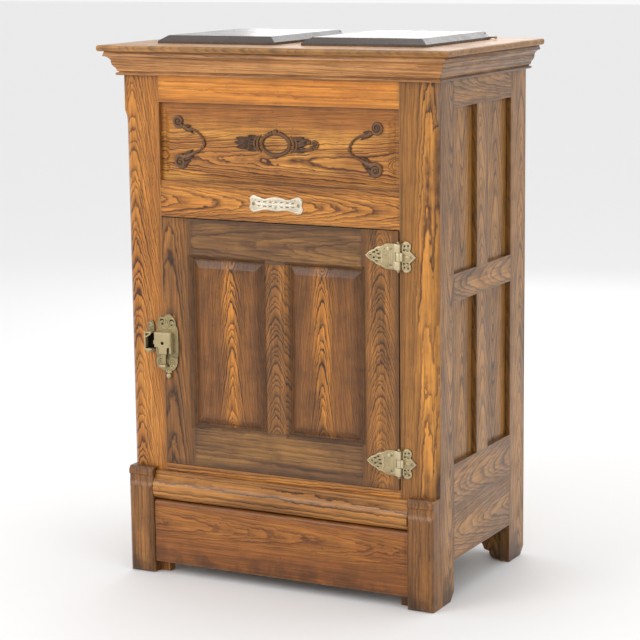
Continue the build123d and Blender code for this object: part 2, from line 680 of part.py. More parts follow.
def around_hatches(z, y, half_x, margin):
    """Five slabs that frame the two hatches, kept margin clear of each."""
    cut_y = grown(HATCH_Y, margin)
    left, right = grown(HATCH_X["left"], margin), grown(HATCH_X["right"], margin)
    block((-half_x, half_x), (y[0], cut_y[0]), z)
    block((-half_x, half_x), (cut_y[1], y[1]), z)
    middle_y = grown(cut_y, -SLAB_GAP)
    block((-half_x, left[0]), middle_y, z)
    block((left[1], right[0]), middle_y, z)
    block((right[1], half_x), middle_y, z)


with BuildPart() as insulation:
    for side_name, side in SIDES:
        side_x = mirrored(side, LINED_X + SLAB_GAP, FILL_X)
        block(side_x, (FILL_Y0, FILL_Y1), (FLOOR_BOARD[1], UNDER_TOP))
    inner_x = (-LINED_X, LINED_X)
    block(inner_x, (LINED_Y1, FILL_Y1), (FLOOR_BOARD[1], UNDER_TOP))
    block(inner_x, (ROOM_Y0 + SLAB_GAP, LINED_Y1 - SLAB_GAP), (FLOOR_BOARD[1], FLOOR_FILL_TOP))
    pipe_hole((FLOOR_BOARD[1], FLOOR_FILL_TOP))
    block(inner_x, (FILL_Y0, ROOM_Y0), (LINTEL[1], UNDER_TOP))
    around_hatches(CEILING, CEILING_Y, LINED_X - SLAB_GAP, LINER)
save(insulation, "insulation")

with BuildPart() as door_jamb:
    jamb_y = (FILL_Y0, ROOM_Y0)
    for side_name, side in SIDES:
        post_z = (FLOOR_BOARD[1], LINTEL[1])
        block(mirrored(side, JAMB_X + GLUE, LINED_X), jamb_y, post_z)
    block((-JAMB_X, JAMB_X), jamb_y, (FLOOR_BOARD[1], THRESHOLD_TOP))
    block((-JAMB_X, JAMB_X), jamb_y, LINTEL)
save(door_jamb, "door_jamb")

with BuildPart() as food_liner:
    wall_z = (FLOOR_FILL_TOP, LINTEL[1])
    room_y = (ROOM_Y0 + SLAB_GAP, ROOM_Y1 - SLAB_GAP)
    for side_name, side in SIDES:
        block(mirrored(side, ROOM_X, LINED_X), room_y, wall_z)
    block((-LINED_X, LINED_X), (ROOM_Y1, LINED_Y1), wall_z)
    block((-ROOM_X + SLAB_GAP, ROOM_X - SLAB_GAP), room_y, (FLOOR_FILL_TOP, FLOOR_TOP))
    pipe_hole((FLOOR_FILL_TOP, FLOOR_TOP))
save(food_liner, "food_liner")

with BuildPart() as ice_liner:
    wall_z = (LINTEL[1], ICE_TOP + LINER)
    for side_name, side in SIDES:
        block(mirrored(side, ROOM_X, LINED_X), grown((ROOM_Y0 + LINER, ROOM_Y1), -SLAB_GAP), wall_z)
    block((-LINED_X, LINED_X), (ROOM_Y1, LINED_Y1), wall_z)
    block((-LINED_X, LINED_X), (ROOM_Y0, ROOM_Y0 + LINER), wall_z)
    ceiling_y = grown((ROOM_Y0 + LINER, ROOM_Y1), -SLAB_GAP)
    around_hatches((ICE_TOP, ICE_TOP + LINER), ceiling_y, ROOM_X - SLAB_GAP, 0)
    throat_z = (ICE_TOP + LINER + SLAB_GAP, UNDER_TOP)
    for hatch in HATCH_X.values():
        throat_y = grown(HATCH_Y, LINER)
        block((hatch[0] - LINER, hatch[0]), throat_y, throat_z)
        block((hatch[1], hatch[1] + LINER), throat_y, throat_z)
        block(grown(hatch, -SLAB_GAP), (throat_y[0], HATCH_Y[0]), throat_z)
        block(grown(hatch, -SLAB_GAP), (HATCH_Y[1], throat_y[1]), throat_z)
save(ice_liner, "ice_liner")

# ================================================================ ice floor and drain
TRAY_Y = (ROOM_Y0 + LINER + TRAY_GAP, ROOM_Y1 - TRAY_GAP)
TRAY_FLOOR = (BEARER[1], BEARER[1] + TRAY_SHEET)

with BuildPart() as ice_tray:
    block((-TRAY_HALF, TRAY_HALF), TRAY_Y, (TRAY_FLOOR[0], TRAY_FLOOR[0] + TRAY_WALL))
    hollow_x = (-TRAY_HALF + TRAY_SHEET, TRAY_HALF - TRAY_SHEET)
    block(hollow_x, grown(TRAY_Y, -TRAY_SHEET), (TRAY_FLOOR[1], TRAY_FLOOR[0] + TRAY_WALL), Mode.SUBTRACT)
    with Locations((PIPE_X, PIPE_Y, sum(TRAY_FLOOR) / 2)):
        Cylinder(PIPE_R - PIPE_WALL, TRAY_SHEET, mode=Mode.SUBTRACT)
save(ice_tray, "ice_tray")

with BuildPart() as drain_pipe:
    with BuildSketch(Plane.XY.offset(PIPE_BOTTOM)):
        with Locations((PIPE_X, PIPE_Y)):
            Circle(PIPE_R)
            Circle(PIPE_R - PIPE_WALL, mode=Mode.SUBTRACT)
    extrude(amount=TRAY_FLOOR[0] - PIPE_BOTTOM)
save(drain_pipe, "drain_pipe")

with BuildPart() as ice_rack:
    rack_y = grown(TRAY_Y, -TRAY_SHEET - RACK_MARGIN)
    rack_half = TRAY_HALF - TRAY_SHEET - RACK_MARGIN
    bar_z = (TRAY_FLOOR[1], TRAY_FLOOR[1] + RACK_BAR)
    slat_z = (bar_z[1], bar_z[1] + RACK_SLAT[1])
    for bar_y in (rack_y[0] + RACK_SLAT[0], rack_y[1] - 3 * RACK_SLAT[0]):
        block((-rack_half, rack_half), (bar_y, bar_y + RACK_SLAT[0]), bar_z)
    slat_pitch = (2 * rack_half - RACK_SLAT[0]) / (RACK_SLATS - 1)
    for i in range(RACK_SLATS):
        slat_x = -rack_half + i * slat_pitch
        block((slat_x, slat_x + RACK_SLAT[0]), rack_y, slat_z)
save(ice_rack, "ice_rack")

# ================================================================ rests and shelves
SHELF_Y = (ROOM_Y0 + SHELF_SIDE_GAP, Y_FRONT + SHELF_REAR)
with BuildPart() as inner_rests:
    for depth in BEARER_AT:
        bearer_y = behind(depth - BEARER_WIDE / 2, depth + BEARER_WIDE / 2)
        block((-ROOM_X, ROOM_X), bearer_y, BEARER)
    for shelf_z in SHELF_AT:
        for side_name, side in SIDES:
            rest_x = mirrored(side, ROOM_X - SHELF_REST_WIDE, ROOM_X)
            block(rest_x, SHELF_Y, (shelf_z - SHELF_REST, shelf_z))
save(inner_rests, "inner_rests")

with BuildPart() as wire_shelves:
    shelf_half = ROOM_X - SHELF_SIDE_GAP - SHELF_ROD
    rail_y = grown(SHELF_Y, -SHELF_ROD)
    wire_span = 2 * (shelf_half - SHELF_PITCH / 2)
    wire_count = int(wire_span // SHELF_PITCH) + 1
    for shelf_z in SHELF_AT:
        rod_z = shelf_z + SHELF_ROD
        for y in rail_y:
            rod_x((-shelf_half, shelf_half), y, rod_z, SHELF_ROD)
        for side_name, side in SIDES:
            rod_y(side * shelf_half, rail_y, rod_z, SHELF_ROD)
            for y in rail_y:
                with Locations((side * shelf_half, y, rod_z)):
                    Sphere(SHELF_ROD)
        for i in range(wire_count):
            x = -wire_span / 2 + i * wire_span / (wire_count - 1)
            rod_y(x, rail_y, rod_z + SHELF_ROD - SHELF_WIRE, SHELF_WIRE)
save(wire_shelves, "wire_shelves")

# ================================================================ lids
LID_AXIS_Y = LID_Y[1] + LID_LEAF + LID_KNUCKLE_R
LID_AXIS_Z = TOP_HEIGHT + LID_KNUCKLE_R + LID_AIR
LID_KNUCKLE = LID_HINGE_WIDE / 3
LID_HINGE_STARTS = {
    name: (pair[0] + LID_HINGE_INSET, pair[1] - LID_HINGE_INSET - LID_HINGE_WIDE)
    for name, pair in LID_X.items()
}

for name, lid_x in LID_X.items():
    centre_x = sum(lid_x) / 2
    with BuildPart() as lid:
        block(lid_x, LID_Y, (TOP_HEIGHT, TOP_HEIGHT + LID_EDGE))
        for z, inset in ((TOP_HEIGHT + LID_EDGE, 0), (TOP_HEIGHT + LID_THICK, LID_BEVEL)):
            with BuildSketch(Plane.XY.offset(z)):
                with Locations((centre_x, (LID_Y[0] + inset + LID_Y[1]) / 2)):
                    Rectangle(lid_x[1] - lid_x[0] - 2 * inset, LID_Y[1] - LID_Y[0] - inset)
        loft()
    save(lid, f"lid_{name}")

    with BuildPart() as lid_plug:
        plug_x = grown(HATCH_X[name], -PLUG_GAP)
        block(plug_x, grown(HATCH_Y, -PLUG_GAP), (TOP_HEIGHT - PLUG_DEEP, TOP_HEIGHT))
    save(lid_plug, f"lid_plug_{name}")

    with BuildPart() as lid_hinge_leaves:
        for start in LID_HINGE_STARTS[name]:
            leaf_x = (start, start + LID_HINGE_WIDE)
            leaf_z = (TOP_HEIGHT + 0.5, TOP_HEIGHT + LID_THICK - 1)
            block(leaf_x, (LID_Y[1], LID_Y[1] + LID_LEAF), leaf_z)
            for knuckle_x in (
                (start, start + LID_KNUCKLE - KNUCKLE_GAP),
                (start + 2 * LID_KNUCKLE + KNUCKLE_GAP, start + LID_HINGE_WIDE),
            ):
                rod_x(knuckle_x, LID_AXIS_Y, LID_AXIS_Z, LID_KNUCKLE_R)
            middle_x = (start + LID_KNUCKLE - KNUCKLE_GAP, start + 2 * LID_KNUCKLE + KNUCKLE_GAP)
            rod_x(middle_x, LID_AXIS_Y, LID_AXIS_Z, LID_KNUCKLE_R + LEAF_AIR, Mode.SUBTRACT)
            rod_x(leaf_x, LID_AXIS_Y, LID_AXIS_Z, LID_PIN_R + PIN_FIT, Mode.SUBTRACT)
    save(lid_hinge_leaves, f"lid_hinge_leaves_{name}")

with BuildPart() as lid_hinge_bases:
    for starts in LID_HINGE_STARTS.values():
        for start in starts:
            knuckle_x = (start + LID_KNUCKLE, start + 2 * LID_KNUCKLE)
            rod_x(knuckle_x, LID_AXIS_Y, LID_AXIS_Z, LID_KNUCKLE_R)
            leaf_y = (LID_AXIS_Y + LID_KNUCKLE_R + LEAF_AIR, LID_AXIS_Y + LID_BOARD_LEAF)
            block((start, start + LID_HINGE_WIDE), leaf_y, (TOP_HEIGHT, TOP_HEIGHT + LID_LEAF))
            block(knuckle_x, (LID_AXIS_Y, leaf_y[0]), (TOP_HEIGHT, TOP_HEIGHT + LID_LEAF))
            rod_x(knuckle_x, LID_AXIS_Y, LID_AXIS_Z, LID_PIN_R + PIN_FIT, Mode.SUBTRACT)
save(lid_hinge_bases, "lid_hinge_bases")

# ================================================================ door
DOOR_Y = (DOOR_FACE, DOOR_BACK)
RECESS_Y = DOOR_FACE + STICKING
DOOR_GROOVE_Y = (RECESS_Y, RECESS_Y + GROOVE)
DOOR_TONGUE_Y = grown(DOOR_GROOVE_Y, -FIT)
SEEN_Z = grown(DOOR_PANEL_Z, -STICKING)
SEEN_X = tuple(grown(pair, -STICKING) for pair in DOOR_PANELS)
RAIL_X = (SEEN_X[0][0], SEEN_X[1][1])
MUNTIN_X = (SEEN_X[0][1], SEEN_X[1][0])
hinge_screws_door = [
    (HINGE_X + dx, zc + dz) for zc in HINGE_AT for dx, dz in DOOR_LEAF_SCREWS
]
latch_screws = [(LATCH_X + dx, LATCH_Z + dz) for dx, dz in LATCH_SCREWS]
DOOR_PILOT_Y = (DOOR_FACE, DOOR_FACE + SCREW_DEEP)


def sticking_waste():
    """Cut the bevelled inner edges of the door frame and its panel grooves."""
    for panel_x, seen_x in zip(DOOR_PANELS, SEEN_X):
        with BuildPart(mode=Mode.PRIVATE) as waste:
            for y, x_pair, z_pair in (
                (DOOR_FACE, panel_x, DOOR_PANEL_Z),
                (RECESS_Y, seen_x, SEEN_Z),
            ):
                with BuildSketch(at_y(y)):
                    with Locations((sum(x_pair) / 2, sum(z_pair) / 2)):
                        Rectangle(x_pair[1] - x_pair[0], z_pair[1] - z_pair[0])
            loft()
        add(waste.part, mode=Mode.SUBTRACT)
        block(grown(seen_x, GROOVE), DOOR_GROOVE_Y, grown(SEEN_Z, GROOVE), Mode.SUBTRACT)


with BuildPart() as door_stiles:
    stile_z = (DOOR_BOTTOM, DOOR_TOP)
    block((-DOOR_HALF, RAIL_X[0]), DOOR_Y, stile_z)
    block((RAIL_X[1], DOOR_HALF), DOOR_Y, stile_z)
    for groove_x in ((RAIL_X[0] - GROOVE, RAIL_X[0]), (RAIL_X[1], RAIL_X[1] + GROOVE)):
        block(groove_x, DOOR_GROOVE_Y, stile_z, Mode.SUBTRACT)
    sticking_waste()
    for x, z in hinge_screws_door + latch_screws:
        peg(x, z, DOOR_PILOT_Y, SCREW_R, Mode.SUBTRACT)
save(door_stiles, "door_stiles")

with BuildPart() as door_rails:
    for rail_z in ((DOOR_BOTTOM, SEEN_Z[0]), (SEEN_Z[1], DOOR_TOP)):
        block(RAIL_X, DOOR_Y, rail_z)
        block(grown(RAIL_X, TONGUE), DOOR_TONGUE_Y, rail_z)
    sticking_waste()
    block(grown(RAIL_X, GROOVE), DOOR_GROOVE_Y, grown(SEEN_Z, GROOVE), Mode.SUBTRACT)
save(door_rails, "door_rails")

with BuildPart() as door_muntin:
    block(MUNTIN_X, DOOR_Y, SEEN_Z)
    sticking_waste()
    block(grown(MUNTIN_X, -GROOVE), DOOR_TONGUE_Y, grown(SEEN_Z, TONGUE))
save(door_muntin, "door_muntin")

with BuildPart() as door_panels:
    for seen_x in SEEN_X:
        block(grown(seen_x, TONGUE), DOOR_TONGUE_Y, grown(SEEN_Z, TONGUE))
        for y, inset in (
            (DOOR_TONGUE_Y[0], DOOR_PANEL_LIP),
            (DOOR_FACE + DOOR_FIELD, DOOR_PANEL_LIP + DOOR_PANEL_BEVEL),
        ):
            with BuildSketch(at_y(y)):
                with Locations((sum(seen_x) / 2, sum(SEEN_Z) / 2)):
                    Rectangle(seen_x[1] - seen_x[0] - 2 * inset, SEEN_Z[1] - SEEN_Z[0] - 2 * inset)
        loft()
save(door_panels, "door_panels")

PLUG_X = (-JAMB_X + DOOR_PLUG_GAP, JAMB_X - DOOR_PLUG_GAP)
PLUG_Z = (THRESHOLD_TOP + DOOR_PLUG_GAP, LINTEL[0] - DOOR_PLUG_GAP)
PLUG_Y = (DOOR_BACK, DOOR_BACK + DOOR_PLUG_DEEP)
FILL_Y = (DOOR_BACK, PLUG_Y[1] - DOOR_LINER)
with BuildPart() as door_insulation:
    block(grown(PLUG_X, -DOOR_LINER), FILL_Y, grown(PLUG_Z, -DOOR_LINER))
save(door_insulation, "door_insulation")

with BuildPart() as door_liner:
    block(PLUG_X, PLUG_Y, PLUG_Z)
    block(grown(PLUG_X, -DOOR_LINER), FILL_Y, grown(PLUG_Z, -DOOR_LINER), Mode.SUBTRACT)
save(door_liner, "door_liner")

with BuildPart() as door_gasket:
    gasket_y = (DOOR_BACK, DOOR_BACK + GASKET)
    gasket_x = grown(PLUG_X, DOOR_PLUG_GAP + GASKET_WIDE)
    gasket_z = grown(PLUG_Z, DOOR_PLUG_GAP + GASKET_WIDE)
    for strip_x in ((gasket_x[0], gasket_x[0] + GASKET_WIDE), (gasket_x[1] - GASKET_WIDE, gasket_x[1])):
        block(strip_x, gasket_y, gasket_z)
    for strip_z in ((gasket_z[0], gasket_z[0] + GASKET_WIDE), (gasket_z[1] - GASKET_WIDE, gasket_z[1])):
        block(grown(gasket_x, -GASKET_WIDE - GLUE), gasket_y, strip_z)
save(door_gasket, "door_gasket")

# ================================================================ door hinges
KNUCKLE = HINGE_TALL / 3


def knuckle(zc, low, high, radius, mode=Mode.ADD):
    """Join (or cut) a barrel on a door hinge's axis between two heights about zc."""
    with Locations((HINGE_X, HINGE_Y, zc + (low + high) / 2)):
        Cylinder(radius, high - low, mode=mode)


with BuildPart() as door_hinge_leaves:
    for zc in HINGE_AT:
        half = HINGE_TALL / 2
        shoulder, waist, tip = (HINGE_X - share * DOOR_LEAF_LONG for share in (*DOOR_LEAF_TAPER, 1))
        with BuildSketch(at_y(DOOR_FACE)):
            with BuildLine():
                Polyline((shoulder, zc + half), (HINGE_X, zc + half), (HINGE_X, zc - half), (shoulder, zc - half))
                ThreePointArc((shoulder, zc - half), (waist, zc - 0.5 * half), (tip, zc))
                ThreePointArc((tip, zc), (waist, zc + 0.5 * half), (shoulder, zc + half))
            make_face()
        extrude(amount=HINGE_LEAF)
        knuckle(zc, KNUCKLE / 2 + KNUCKLE_GAP, half, KNUCKLE_R)
        knuckle(zc, -half, -KNUCKLE / 2 - KNUCKLE_GAP, KNUCKLE_R)
        knuckle(zc, -KNUCKLE / 2 - KNUCKLE_GAP, KNUCKLE / 2 + KNUCKLE_GAP, KNUCKLE_R + KNUCKLE_ROOM, Mode.SUBTRACT)
        knuckle(zc, -half, half, HINGE_PIN_R + PIN_FIT, Mode.SUBTRACT)
    for x, z in hinge_screws_door:
        peg(x, z, (DOOR_FACE - HINGE_LEAF, DOOR_FACE), SCREW_R, Mode.SUBTRACT)
save(door_hinge_leaves, "door_hinge_leaves")

with BuildPart() as frame_hinge_leaves:
    leaf_start = HINGE_X + KNUCKLE_R + 0.5
    for zc in HINGE_AT:
        half = HINGE_TALL / 2
        with BuildSketch(at_y(Y_FRONT)):
            with Locations((leaf_start, zc)):
                with Locations((FRAME_LEAF_WIDE / 2, 0)):
                    Rectangle(FRAME_LEAF_WIDE, HINGE_TALL)
                with Locations((FRAME_LEAF_WIDE, FRAME_LOBE[0]), (FRAME_LEAF_WIDE, -FRAME_LOBE[0])):
                    Circle(FRAME_LOBE[1])
                with Locations((FRAME_TIP[0], 0)):
                    Circle(FRAME_TIP[1])
        extrude(amount=HINGE_LEAF)
        arm_x = (HINGE_X, leaf_start)
        arm_z = (zc - KNUCKLE / 2, zc + KNUCKLE / 2)
        block(arm_x, (HINGE_Y - HINGE_LEAF / 2, HINGE_Y + HINGE_LEAF / 2), arm_z)
        block((leaf_start, leaf_start + HINGE_LEAF), (HINGE_Y - HINGE_LEAF / 2, Y_FRONT), arm_z)
        knuckle(zc, -KNUCKLE / 2, KNUCKLE / 2, KNUCKLE_R)
        knuckle(zc, -KNUCKLE / 2, KNUCKLE / 2, HINGE_PIN_R + PIN_FIT, Mode.SUBTRACT)
    for x, z in hinge_screws_frame:
        peg(x, z, (Y_FRONT - HINGE_LEAF, Y_FRONT), SCREW_R, Mode.SUBTRACT)
save(frame_hinge_leaves, "frame_hinge_leaves")

with BuildPart() as hinge_pins:
    for zc in HINGE_AT:
        knuckle(zc, -HINGE_TALL / 2, HINGE_TALL / 2, HINGE_PIN_R)
        for end in (-1, 1):
            with Locations((HINGE_X, HINGE_Y, zc + end * (HINGE_TALL / 2 + PIN_HEAD_GAP + HINGE_PIN_R))):
                Sphere(PIN_HEAD * HINGE_PIN_R)
    for starts in LID_HINGE_STARTS.values():
        for start in starts:
            pin_x = (start - LID_PIN_OUT, start + LID_HINGE_WIDE + LID_PIN_OUT)
            rod_x(pin_x, LID_AXIS_Y, LID_AXIS_Z, LID_PIN_R)
            for x in pin_x:
                with Locations((x, LID_AXIS_Y, LID_AXIS_Z)):
                    Sphere(2 * LID_PIN_R)
save(hinge_pins, "hinge_pins")

# ================================================================ latch
PLATE_FRONT = DOOR_FACE - LATCH_PLATE
BOX_FRONT = PLATE_FRONT - LATCH_BOX[2]
BOX_X = (LATCH_X - LATCH_BOX[0] / 2, LATCH_X + LATCH_BOX[0] / 2)
BOX_Z = (LATCH_Z - LATCH_BOX[1] / 2, LATCH_Z + LATCH_BOX[1] / 2)
LEVER_Y = (PLATE_FRONT - LEVER_GAP - LEVER_THICK, PLATE_FRONT - LEVER_GAP)

with BuildPart() as latch_plate:
    with BuildSketch(at_y(DOOR_FACE)):
        with Locations((LATCH_X + 1, LATCH_Z)):
            Rectangle(*LATCH_BODY)
        with Locations((LATCH_X + CREST_AT[0], LATCH_Z + CREST_AT[1])):
            Circle(CREST_R)
        with Locations((LATCH_X + SHIELD_AT[0], LATCH_Z + SHIELD_AT[1])):
            Ellipse(*SHIELD)
        with Locations((LATCH_X + FINIAL_AT[0], LATCH_Z + FINIAL_AT[1])):
            Circle(FINIAL_R)
    extrude(amount=LATCH_PLATE)
    block(BOX_X, (BOX_FRONT, PLATE_FRONT), BOX_Z)
    hollow_x = (BOX_X[0], BOX_X[1] - LATCH_WALL)
    hollow_z = (BOX_Z[0], BOX_Z[1] - LATCH_WALL)
    block(hollow_x, (BOX_FRONT + LATCH_WALL, PLATE_FRONT), hollow_z, Mode.SUBTRACT)
    peg(LATCH_X, LATCH_Z, (BOX_FRONT, BOX_FRONT + LATCH_WALL), LATCH_PIN_R, Mode.SUBTRACT)
    for x, z in latch_screws:
        peg(x, z, (PLATE_FRONT, DOOR_FACE), SCREW_R, Mode.SUBTRACT)
save(latch_plate, "latch_plate")

with BuildPart() as latch_pivot:
    peg(LATCH_X, LATCH_Z, (BOX_FRONT - 1, PLATE_FRONT), LATCH_PIN_R)
save(latch_pivot, "latch_pivot")

with BuildPart() as latch_lever:
    peg(LATCH_X, LATCH_Z, LEVER_Y, LEVER_HUB_R)
    arm_x = (LATCH_X - LEVER_WIDE / 2, LATCH_X + LEVER_WIDE / 2)
    block(arm_x, LEVER_Y, (LATCH_Z - LEVER_LONG, LATCH_Z))
    block((LATCH_X - TONGUE_REACH, LATCH_X), LEVER_Y, (LATCH_Z - TONGUE_TALL / 2, LATCH_Z + TONGUE_TALL / 2))
    grip_z = (LATCH_Z - LEVER_LONG - GRIP, LATCH_Z - LEVER_LONG)
    block(grown(arm_x, GRIP_LAP), (LEVER_Y[0] - GRIP, LEVER_Y[1]), grip_z)
    peg(LATCH_X, LATCH_Z, LEVER_Y, LATCH_PIN_R + PIN_FIT, Mode.SUBTRACT)
save(latch_lever, "latch_lever")

with BuildPart() as latch_keeper:
    keeper_y = (Y_FRONT - KEEPER_PROUD, Y_FRONT)
    block(KEEPER_X, (Y_FRONT - KEEPER_WALL, Y_FRONT), KEEPER_Z)
    block(KEEPER_X, keeper_y, grown(KEEPER_MOUTH, KEEPER_WALL))
    mouth_x = (KEEPER_X[0] + KEEPER_WALL, KEEPER_X[1])
    mouth_y = (keeper_y[0] + KEEPER_WALL, Y_FRONT - KEEPER_WALL)
    block(mouth_x, mouth_y, KEEPER_MOUTH, Mode.SUBTRACT)
    for x, z in keeper_screws:
        peg(x, z, (Y_FRONT - KEEPER_WALL, Y_FRONT), SCREW_R, Mode.SUBTRACT)
save(latch_keeper, "latch_keeper")


def screws(points, seat_y):
    """Join round-headed screws whose heads sit on the face at seat_y."""
    for x, z in points:
        peg(x, z, (seat_y - SCREW_HEAD, seat_y), SCREW_HEAD_R)
        peg(x, z, (seat_y, seat_y + SCREW_DEEP), SCREW_R)


with BuildPart() as door_screws:
    screws(hinge_screws_door, DOOR_FACE - HINGE_LEAF)
    screws(latch_screws, PLATE_FRONT)
save(door_screws, "door_screws")

with BuildPart() as case_screws:
    screws(hinge_screws_frame, Y_FRONT - HINGE_LEAF)
    screws([(x, sum(NAMEPLATE_Z) / 2) for x in NAMEPLATE_PINS], Y_FRONT - NAMEPLATE_THICK)
save(case_screws, "case_screws")

# ================================================================ nameplate, carvings
with BuildPart() as nameplate:
    with BuildSketch(at_y(Y_FRONT)):
        with Locations((sum(NAMEPLATE_X) / 2, sum(NAMEPLATE_Z) / 2)):
            plate_tall = NAMEPLATE_Z[1] - NAMEPLATE_Z[0] - NAMEPLATE_WAIST
            RectangleRounded(NAMEPLATE_X[1] - NAMEPLATE_X[0], plate_tall, NAMEPLATE_CORNER)
            with Locations((-NAMEPLATE_LOBE, 0), (NAMEPLATE_LOBE, 0)):
                Circle((NAMEPLATE_Z[1] - NAMEPLATE_Z[0]) / 2)
    extrude(amount=NAMEPLATE_THICK)
    for x in NAMEPLATE_PINS:
        peg(x, sum(NAMEPLATE_Z) / 2, (Y_FRONT - NAMEPLATE_THICK, Y_FRONT), SCREW_R, Mode.SUBTRACT)
save(nameplate, "nameplate")

FIELD_Y = Y_FRONT + PANEL_FIELD
with BuildPart() as centre_ornament:
    with BuildSketch(at_y(FIELD_Y)):
        with Locations((0, ORNAMENT_Z)):
            Ellipse(*RING_OUT)
            with Locations((-RING_ARM_AT, 0), (RING_ARM_AT, 0)):
                Ellipse(*RING_ARM)
            with Locations((-ARM_END_AT, 0), (ARM_END_AT, 0)):
                Circle(ARM_END_R)
            with Locations((0, RING_OUT[1])):
                Circle(RING_BEAD_R)
            Ellipse(*RING_IN, mode=Mode.SUBTRACT)
    extrude(amount=ORNAMENT_THICK)
save(centre_ornament, "centre_ornament")

with BuildPart() as corner_ornaments:
    for side_name, side in SIDES:
        with BuildSketch(at_y(FIELD_Y)):
            for volute in (VOLUTE_UP, VOLUTE_DOWN):
                with BuildLine() as arm:
                    reach = volute[1] - VOLUTE_TIP[1]
                    TangentArc(
                        (side * VOLUTE_TIP[0], VOLUTE_TIP[1]),
                        (side * volute[0], VOLUTE_TIP[1] + VOLUTE_SWEEP * reach),
                        tangent=(0, 1 if reach > 0 else -1),
                    )
                trace(arm.line, SCROLL_WIDE)
                with Locations((side * volute[0], volute[1])):
                    Circle(VOLUTE_R)
            with Locations((side * VOLUTE_TIP[0], VOLUTE_TIP[1])):
                Circle(SCROLL_WIDE / 2)
        extrude(amount=ORNAMENT_THICK)
save(corner_ornaments, "corner_ornaments")

# ================================================================ drip pan
PAN_Y = behind(PAN_FRONT, PAN_REAR)
RIM_HALF = PAN_HALF + PAN_RIM
RIM_Z = (PAN_Z[1] - PAN_SHEET, PAN_Z[1])
LEDGE_TOP = RIM_Z[0] - RUNNER_GAP
with BuildPart() as drip_pan:
    block((-PAN_HALF, PAN_HALF), PAN_Y, PAN_Z)
    block((-RIM_HALF, RIM_HALF), PAN_Y, RIM_Z)
    hollow_x = (-PAN_HALF + PAN_SHEET, PAN_HALF - PAN_SHEET)
    block(hollow_x, grown(PAN_Y, -PAN_SHEET), (PAN_Z[0] + PAN_SHEET, PAN_Z[1]), Mode.SUBTRACT)
save(drip_pan, "drip_pan")

with BuildPart() as pan_runners:
    runner_y = (FILL_Y0, FILL_Y1)
    for side_name, side in SIDES:
        web = RIM_HALF + RUNNER_GAP
        block(mirrored(side, web, web + RUNNER_WEB), runner_y, (LEDGE_TOP - RUNNER_LEDGE, FLOOR_BOARD[0]))
        ledge_x = mirrored(side, PAN_HALF + 2 * RUNNER_GAP, web + RUNNER_WEB)
        block(ledge_x, runner_y, (LEDGE_TOP - RUNNER_LEDGE, LEDGE_TOP))
save(pan_runners, "pan_runners")
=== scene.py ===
"""Looks of the oak icebox: every board has its own grain, and the ironwork is cast and pierced.

Metres, +Z up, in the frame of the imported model. The front faces -Y.
"""

import json
import logging
import math
import random
from collections.abc import Iterable
from dataclasses import dataclass
from enum import Enum

import bmesh
import bpy
from mathutils import Matrix, Vector

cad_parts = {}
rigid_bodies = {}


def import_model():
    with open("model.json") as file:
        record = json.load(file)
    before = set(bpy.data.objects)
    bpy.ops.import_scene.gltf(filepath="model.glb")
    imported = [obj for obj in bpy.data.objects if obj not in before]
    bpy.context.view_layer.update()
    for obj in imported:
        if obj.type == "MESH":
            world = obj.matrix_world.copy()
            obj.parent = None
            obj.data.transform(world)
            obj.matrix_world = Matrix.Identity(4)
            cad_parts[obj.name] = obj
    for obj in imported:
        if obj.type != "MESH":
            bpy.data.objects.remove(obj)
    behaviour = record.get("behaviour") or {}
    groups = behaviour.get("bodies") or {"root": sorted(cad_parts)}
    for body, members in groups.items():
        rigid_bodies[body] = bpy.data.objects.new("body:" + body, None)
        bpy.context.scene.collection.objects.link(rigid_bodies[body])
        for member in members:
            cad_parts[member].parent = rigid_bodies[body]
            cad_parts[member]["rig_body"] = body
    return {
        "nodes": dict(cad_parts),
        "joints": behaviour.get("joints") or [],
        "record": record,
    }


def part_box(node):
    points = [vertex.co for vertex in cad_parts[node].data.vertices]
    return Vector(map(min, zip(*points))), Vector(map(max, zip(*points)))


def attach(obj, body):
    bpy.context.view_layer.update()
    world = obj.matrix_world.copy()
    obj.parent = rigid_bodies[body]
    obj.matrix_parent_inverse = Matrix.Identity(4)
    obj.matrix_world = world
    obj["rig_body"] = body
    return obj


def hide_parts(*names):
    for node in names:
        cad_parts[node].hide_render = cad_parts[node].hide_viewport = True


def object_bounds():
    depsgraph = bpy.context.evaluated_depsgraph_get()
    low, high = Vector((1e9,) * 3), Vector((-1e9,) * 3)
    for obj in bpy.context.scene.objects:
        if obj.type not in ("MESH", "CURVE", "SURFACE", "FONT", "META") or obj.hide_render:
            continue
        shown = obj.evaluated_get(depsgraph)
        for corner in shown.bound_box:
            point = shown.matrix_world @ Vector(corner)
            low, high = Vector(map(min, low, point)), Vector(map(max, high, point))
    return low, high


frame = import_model()
CAD_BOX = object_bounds()

log = logging.getLogger("icebox")
MM = 0.001
WELD = 2e-5  # metres between two corners of a CAD mesh that are one
FLAT = math.radians(0.6)  # CAD faces that bend less than this are one flat
METAL_EDGE = 40.0  # degrees from which an edge of sheet or bar stays sharp
MOULDED = 32.0  # degrees that a moulding's smooth faces may bend
UPRIGHT = Matrix.Rotation(math.pi / 2, 4, "X")  # stands a flat drawing up against the front

LOW_DARKENING_HEIGHT = 0.1  # metres up to which the boards darken, most at the floor, in cloudy patches
RECESS_SHADE_BAND = (0.0001, 0.0022)  # metres below a panel's field in which its bevels darken with painted shade and soiling
# the brown towards which soiling and painted shade darken the wood; specks and the darkening near the floor
# use it too
SOIL_AND_SHADE_BROWN = "2c1c12"
RUBBED_GOLD = "dba468"
BRASS_SPECK = "2f2a20"

Point = tuple[float, float]
Socket = bpy.types.NodeSocket


